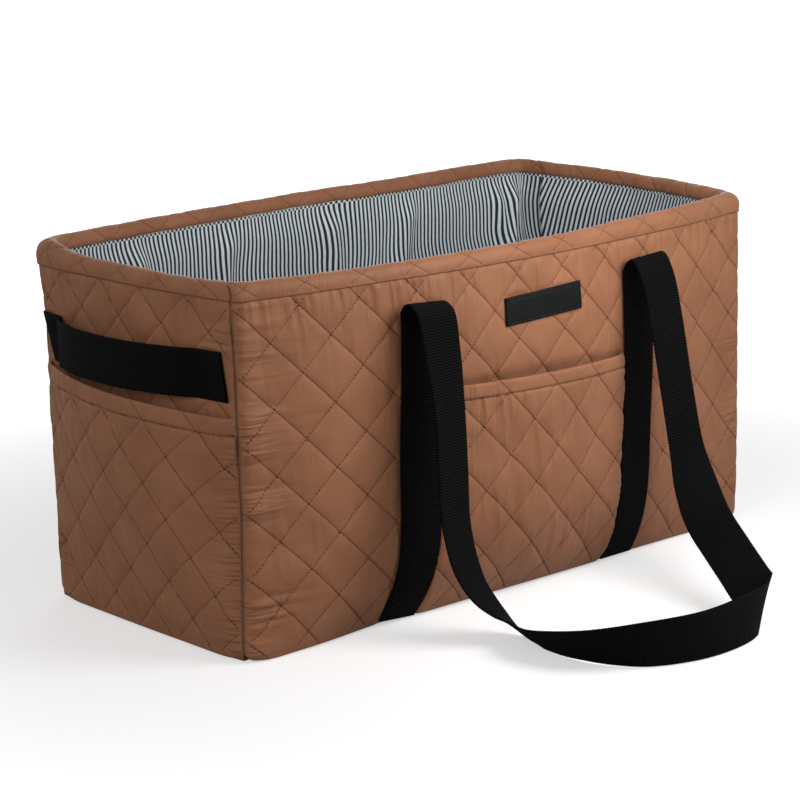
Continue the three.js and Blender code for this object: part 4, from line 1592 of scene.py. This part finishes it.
def make_end_pocket(name, wall, seed):
    quilt = Quilt(11, 156, *END_POCKET_DIAMOND, seed, lean=0.13)
    hem_z = END_POCKET_TOP - END_HEM_H

    def clear(s):
        """Share of the pocket's own thickness, falling to 0 where it is caught in the side seams."""
        return smoothstep(0, 11, END_POCKET_HALF - np.abs(s))

    def base(s, z):
        s, z = np.broadcast_arrays(s, z)
        high = z + END_POCKET_SLOPE * s * z / END_POCKET_TOP
        side = np.clip(1 - (s / END_POCKET_HALF) ** 2, 0, 1)
        off = 0.3 + (LAID_GAP + POCKET_T) * clear(s) + END_POCKET_SWELL * side * z / END_POCKET_TOP
        return wall.world(s, wall.out(s, high) + off, high)

    def strain(s, z):
        level = np.exp(-(END_POCKET_HALF - np.abs(s)) / 26)
        return 0.35 + 0.65 * np.exp(-(hem_z - z) / 34) - 1.4 * level

    def marks(s, z):
        # The pocket's side seams get painted shade along them.
        return quilt.marks(s, z, painted_seam_shade(END_POCKET_HALF - np.abs(s)))

    def depth(s, z):
        return 0.5 + (POCKET_T - 1.1) * clear(s) + np.minimum(foot_inset(z), 1.5)

    def height(s, z):
        to_side = np.clip(END_POCKET_HALF - np.abs(s), 0, None)
        to_hem = np.clip(hem_z - z, 0, None)
        gather = gathers(s, z, to_hem, tall=0.9, reach=32, width=5, length=46, seed=seed + 3)
        pull = gathers(s, z, to_side, tall=0.95, reach=28, width=42, length=4.4, seed=seed + 4)
        pull = pull * calm(to_side, -s)
        seeds = (seed + 5, seed + 6, seed + 7)
        loose = pocket_wrinkles(s, z, to_side, crinkle=0.75, slump=1.8, seeds=seeds)
        seam = -0.9 * np.exp(-to_side) - np.exp(-to_hem / 2)
        relief = (flattened(quilt, s, z, to_side) + loose) * firm(z) + gather + pull
        return relief + seam - foot_inset(z, to_side)

    cloth = Cloth(base, height)
    pocket = make_slab(
        f"{name}_quilted_pocket", cloth, spread(-END_POCKET_HALF, END_POCKET_HALF, 1.6),
        rows_from(POCKET_LOW, hem_z, 1.6), depth, marks, NYLON, (f"{name}_pocket",),
        strain=strain,
    )
    reach = END_POCKET_HALF - POCKET_THREAD_INSET
    runs = quilt.lines(-reach, reach, POCKET_THREAD_LOW, hem_z - 1)
    make_stitches(f"{name}_pocket_quilting_thread", cloth, runs, THREAD)
    make_hem_band(
        f"{name}_pocket_gathered_hem", base, np.linspace(-1, 1, 170) * END_POCKET_HALF,
        hem_z, END_POCKET_TOP, quilt, seed + 8, (f"{name}_pocket_hem",),
    )
    s = np.linspace(-1, 1, 120) * (END_POCKET_HALF - ELASTIC_INSET)
    band_z = END_POCKET_TOP - END_HEM_H / 2
    band_rows = spread(band_z - ELASTIC_HALF, band_z + ELASTIC_HALF, 2.0)
    elastic = Cloth(base, lambda a, b: 0.2 * np.sin(a / 1.4) - ELASTIC_DEPTH)
    piece = make_slab(
        f"{name}_pocket_elastic_band", elastic, s, band_rows, ELASTIC_T,
        None, ELASTIC, (f"{name}_pocket_elastic",), stride=2,
    )


def make_grab(name, wall):
    """An end grab handle: two sewn tabs, and a free span in two halves, each bowed out between the
    middle and its own tab.
    """

    def centre(s, bow):
        end = np.where(s < 0, GRAB_TAB_INS[-1], GRAB_TAB_INS[1])
        reach = np.abs(s) / end
        stand = bow * (1 - np.minimum(reach, 1) ** np.where(s < 0, GRAB_STEEP, GRAB_FLAT))
        stand = stand * smoothstep(0, 18, end - np.abs(s))
        out = wall.out(s, GRAB_MIDDLE) + LAID_GAP + WEB_T / 2 + stand
        return wall.world(s, out, np.full(len(s), GRAB_MIDDLE))

    def across(s, line):
        """Up the webbing, with its upper edge drawn towards low s."""
        slant = np.interp(s, *GRAB_SLANTS.T)[:, None]
        return np.array([0, 0, 1]) - slant * unit(np.gradient(line, axis=0))

    words = {-1: "back" if wall is LEFT else "front", 1: "front" if wall is LEFT else "back"}
    for side, word in words.items():
        tab_in = GRAB_TAB_INS[side]
        s = np.sort(side * np.linspace(tab_in, GRAB_TAB_OUT - 0.6, 24))
        line = centre(s, 0)
        make_ribbon(
            f"{name}_webbing_tab_{word}", line, across(s, line), (f"{name}_grab_tab_{word}",)
        )
        lean = np.interp(side * GRAB_TAB_OUT, *GRAB_SLANTS.T)

        def spot(at, z):
            return side * at - lean * (z - GRAB_MIDDLE), z

        sides = (tab_in + WEB_SEWN, GRAB_TAB_OUT - 2 * WEB_SEWN)
        heights = (GRAB_LOW + WEB_SEWN, GRAB_HIGH - WEB_SEWN)
        runs = [np.array([spot(at, z) for z in heights]) for at in sides]
        runs += [np.array([spot(at, z) for at in sides]) for z in heights]
        top = Cloth(wall.raised(lambda a, b: LAID_GAP + WEB_T + THREAD_GAP), no_height)
        make_stitches(
            f"{name}_tab_stitching_{word}", top, runs, BLACK_THREAD,
            pitch=3.2, length=2.2, radius=0.32,
        )
        s = np.sort(side * np.linspace(0, tab_in, 60))
        line = centre(s, GRAB_BOW)
        half = make_ribbon(
            f"{name}_webbing_span_{word}", line, across(s, line), (f"{name}_grab_handle",), None
        )
        fixed, free = (wall.world(side * at, LONG_HALF, GRAB_MIDDLE) * MM for at in (tab_in, GRAB_FREE))
        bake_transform(half)


make_end_pocket("left_end", LEFT, seed=400)
make_end_pocket("right_end", RIGHT, seed=420)
make_grab("left_end", LEFT)
make_grab("right_end", RIGHT)


# Floor, light and background

WHITE = (1, 1, 1, 1)
FLOOR_GREY = (0.6, 0.6, 0.6, 1)
FLOOR_HALF = 30
FLOOR_GLOW = {"From Min": 0.3, "From Max": 1.1, "To Min": 0.5, "To Max": 1.0}
SOFT_LIGHT = 0.3


def make_floor():
    """A grey floor that the camera sees as white, from a short way off the bag."""
    mesh = bpy.data.meshes.new("floor")
    corners = [(x * FLOOR_HALF, y * FLOOR_HALF, 0) for x, y in ((-1, -1), (1, -1), (1, 1), (-1, 1))]
    mesh.from_pydata(corners, [], [(0, 1, 2, 3)])
    floor = bpy.data.objects.new("floor", mesh)
    bpy.context.scene.collection.objects.link(floor)
    material = bpy.data.materials.new("floor")
    material.use_nodes = True
    tree = Tree(material.node_tree)
    far = tree.node(
        "VectorMath", {0: tree.node("TexCoord", {}, "Object")}, "Value", operation="LENGTH"
    )
    glow = tree.node("MapRange", {"Value": far, **FLOOR_GLOW}, interpolation_type="SMOOTHSTEP")
    seen = tree.node("LightPath", {}, "Is Camera Ray")
    tree.feed(material.node_tree.nodes["Principled BSDF"], {
        "Base Color": FLOOR_GREY,
        "Roughness": 0.9,
        "Specular IOR Level": 0.1,
        "Emission Color": WHITE,
        "Emission Strength": tree.math("MULTIPLY", seen, glow),
    })
    mesh.materials.append(material)


def make_light(name, place, target, size, watts):
    data = bpy.data.lights.new(name, "AREA")
    data.shape = "DISK"
    data.size = size
    data.energy = watts
    light = bpy.data.objects.new(name, data)
    light.location = place
    light.visible_camera = False
    aim = Vector(target) - Vector(place)
    light.rotation_mode = "QUATERNION"
    light.rotation_quaternion = aim.to_track_quat("-Z", "Y")
    bpy.context.scene.collection.objects.link(light)


def make_world():
    """Soft light from all sides, and a white background for the camera and for what mirrors it."""
    world = bpy.data.worlds.new("studio")
    bpy.context.scene.world = world
    world.use_nodes = True
    nodes = world.node_tree.nodes
    nodes.clear()
    tree = Tree(world.node_tree)
    soft = tree.node("Background", {"Color": WHITE, "Strength": SOFT_LIGHT})
    white = tree.node("Background", {"Color": WHITE, "Strength": 1.0})
    seen = tree.node("LightPath", {}, "Is Camera Ray")
    for ray in ("Is Glossy Ray", "Is Transmission Ray"):
        seen = tree.math("MAXIMUM", seen, tree.node("LightPath", {}, ray))
    mixed = tree.node("MixShader", {0: seen, 1: soft, 2: white})
    tree.feed(nodes.new("ShaderNodeOutputWorld"), {0: mixed})


make_floor()
make_world()
make_light("key", (0.1, -0.5, 0.45), target=(0.03, -0.12, 0.2), size=0.4, watts=2.6)
make_light("fill", (-2.2, -0.9, 1.3), target=(-0.1, 0, 0.15), size=1.4, watts=17)
make_light("rear", (1.6, 1.9, 1.5), target=(0.1, 0, 0.15), size=1.4, watts=11)
bpy.context.scene.view_settings.view_transform = "Standard"
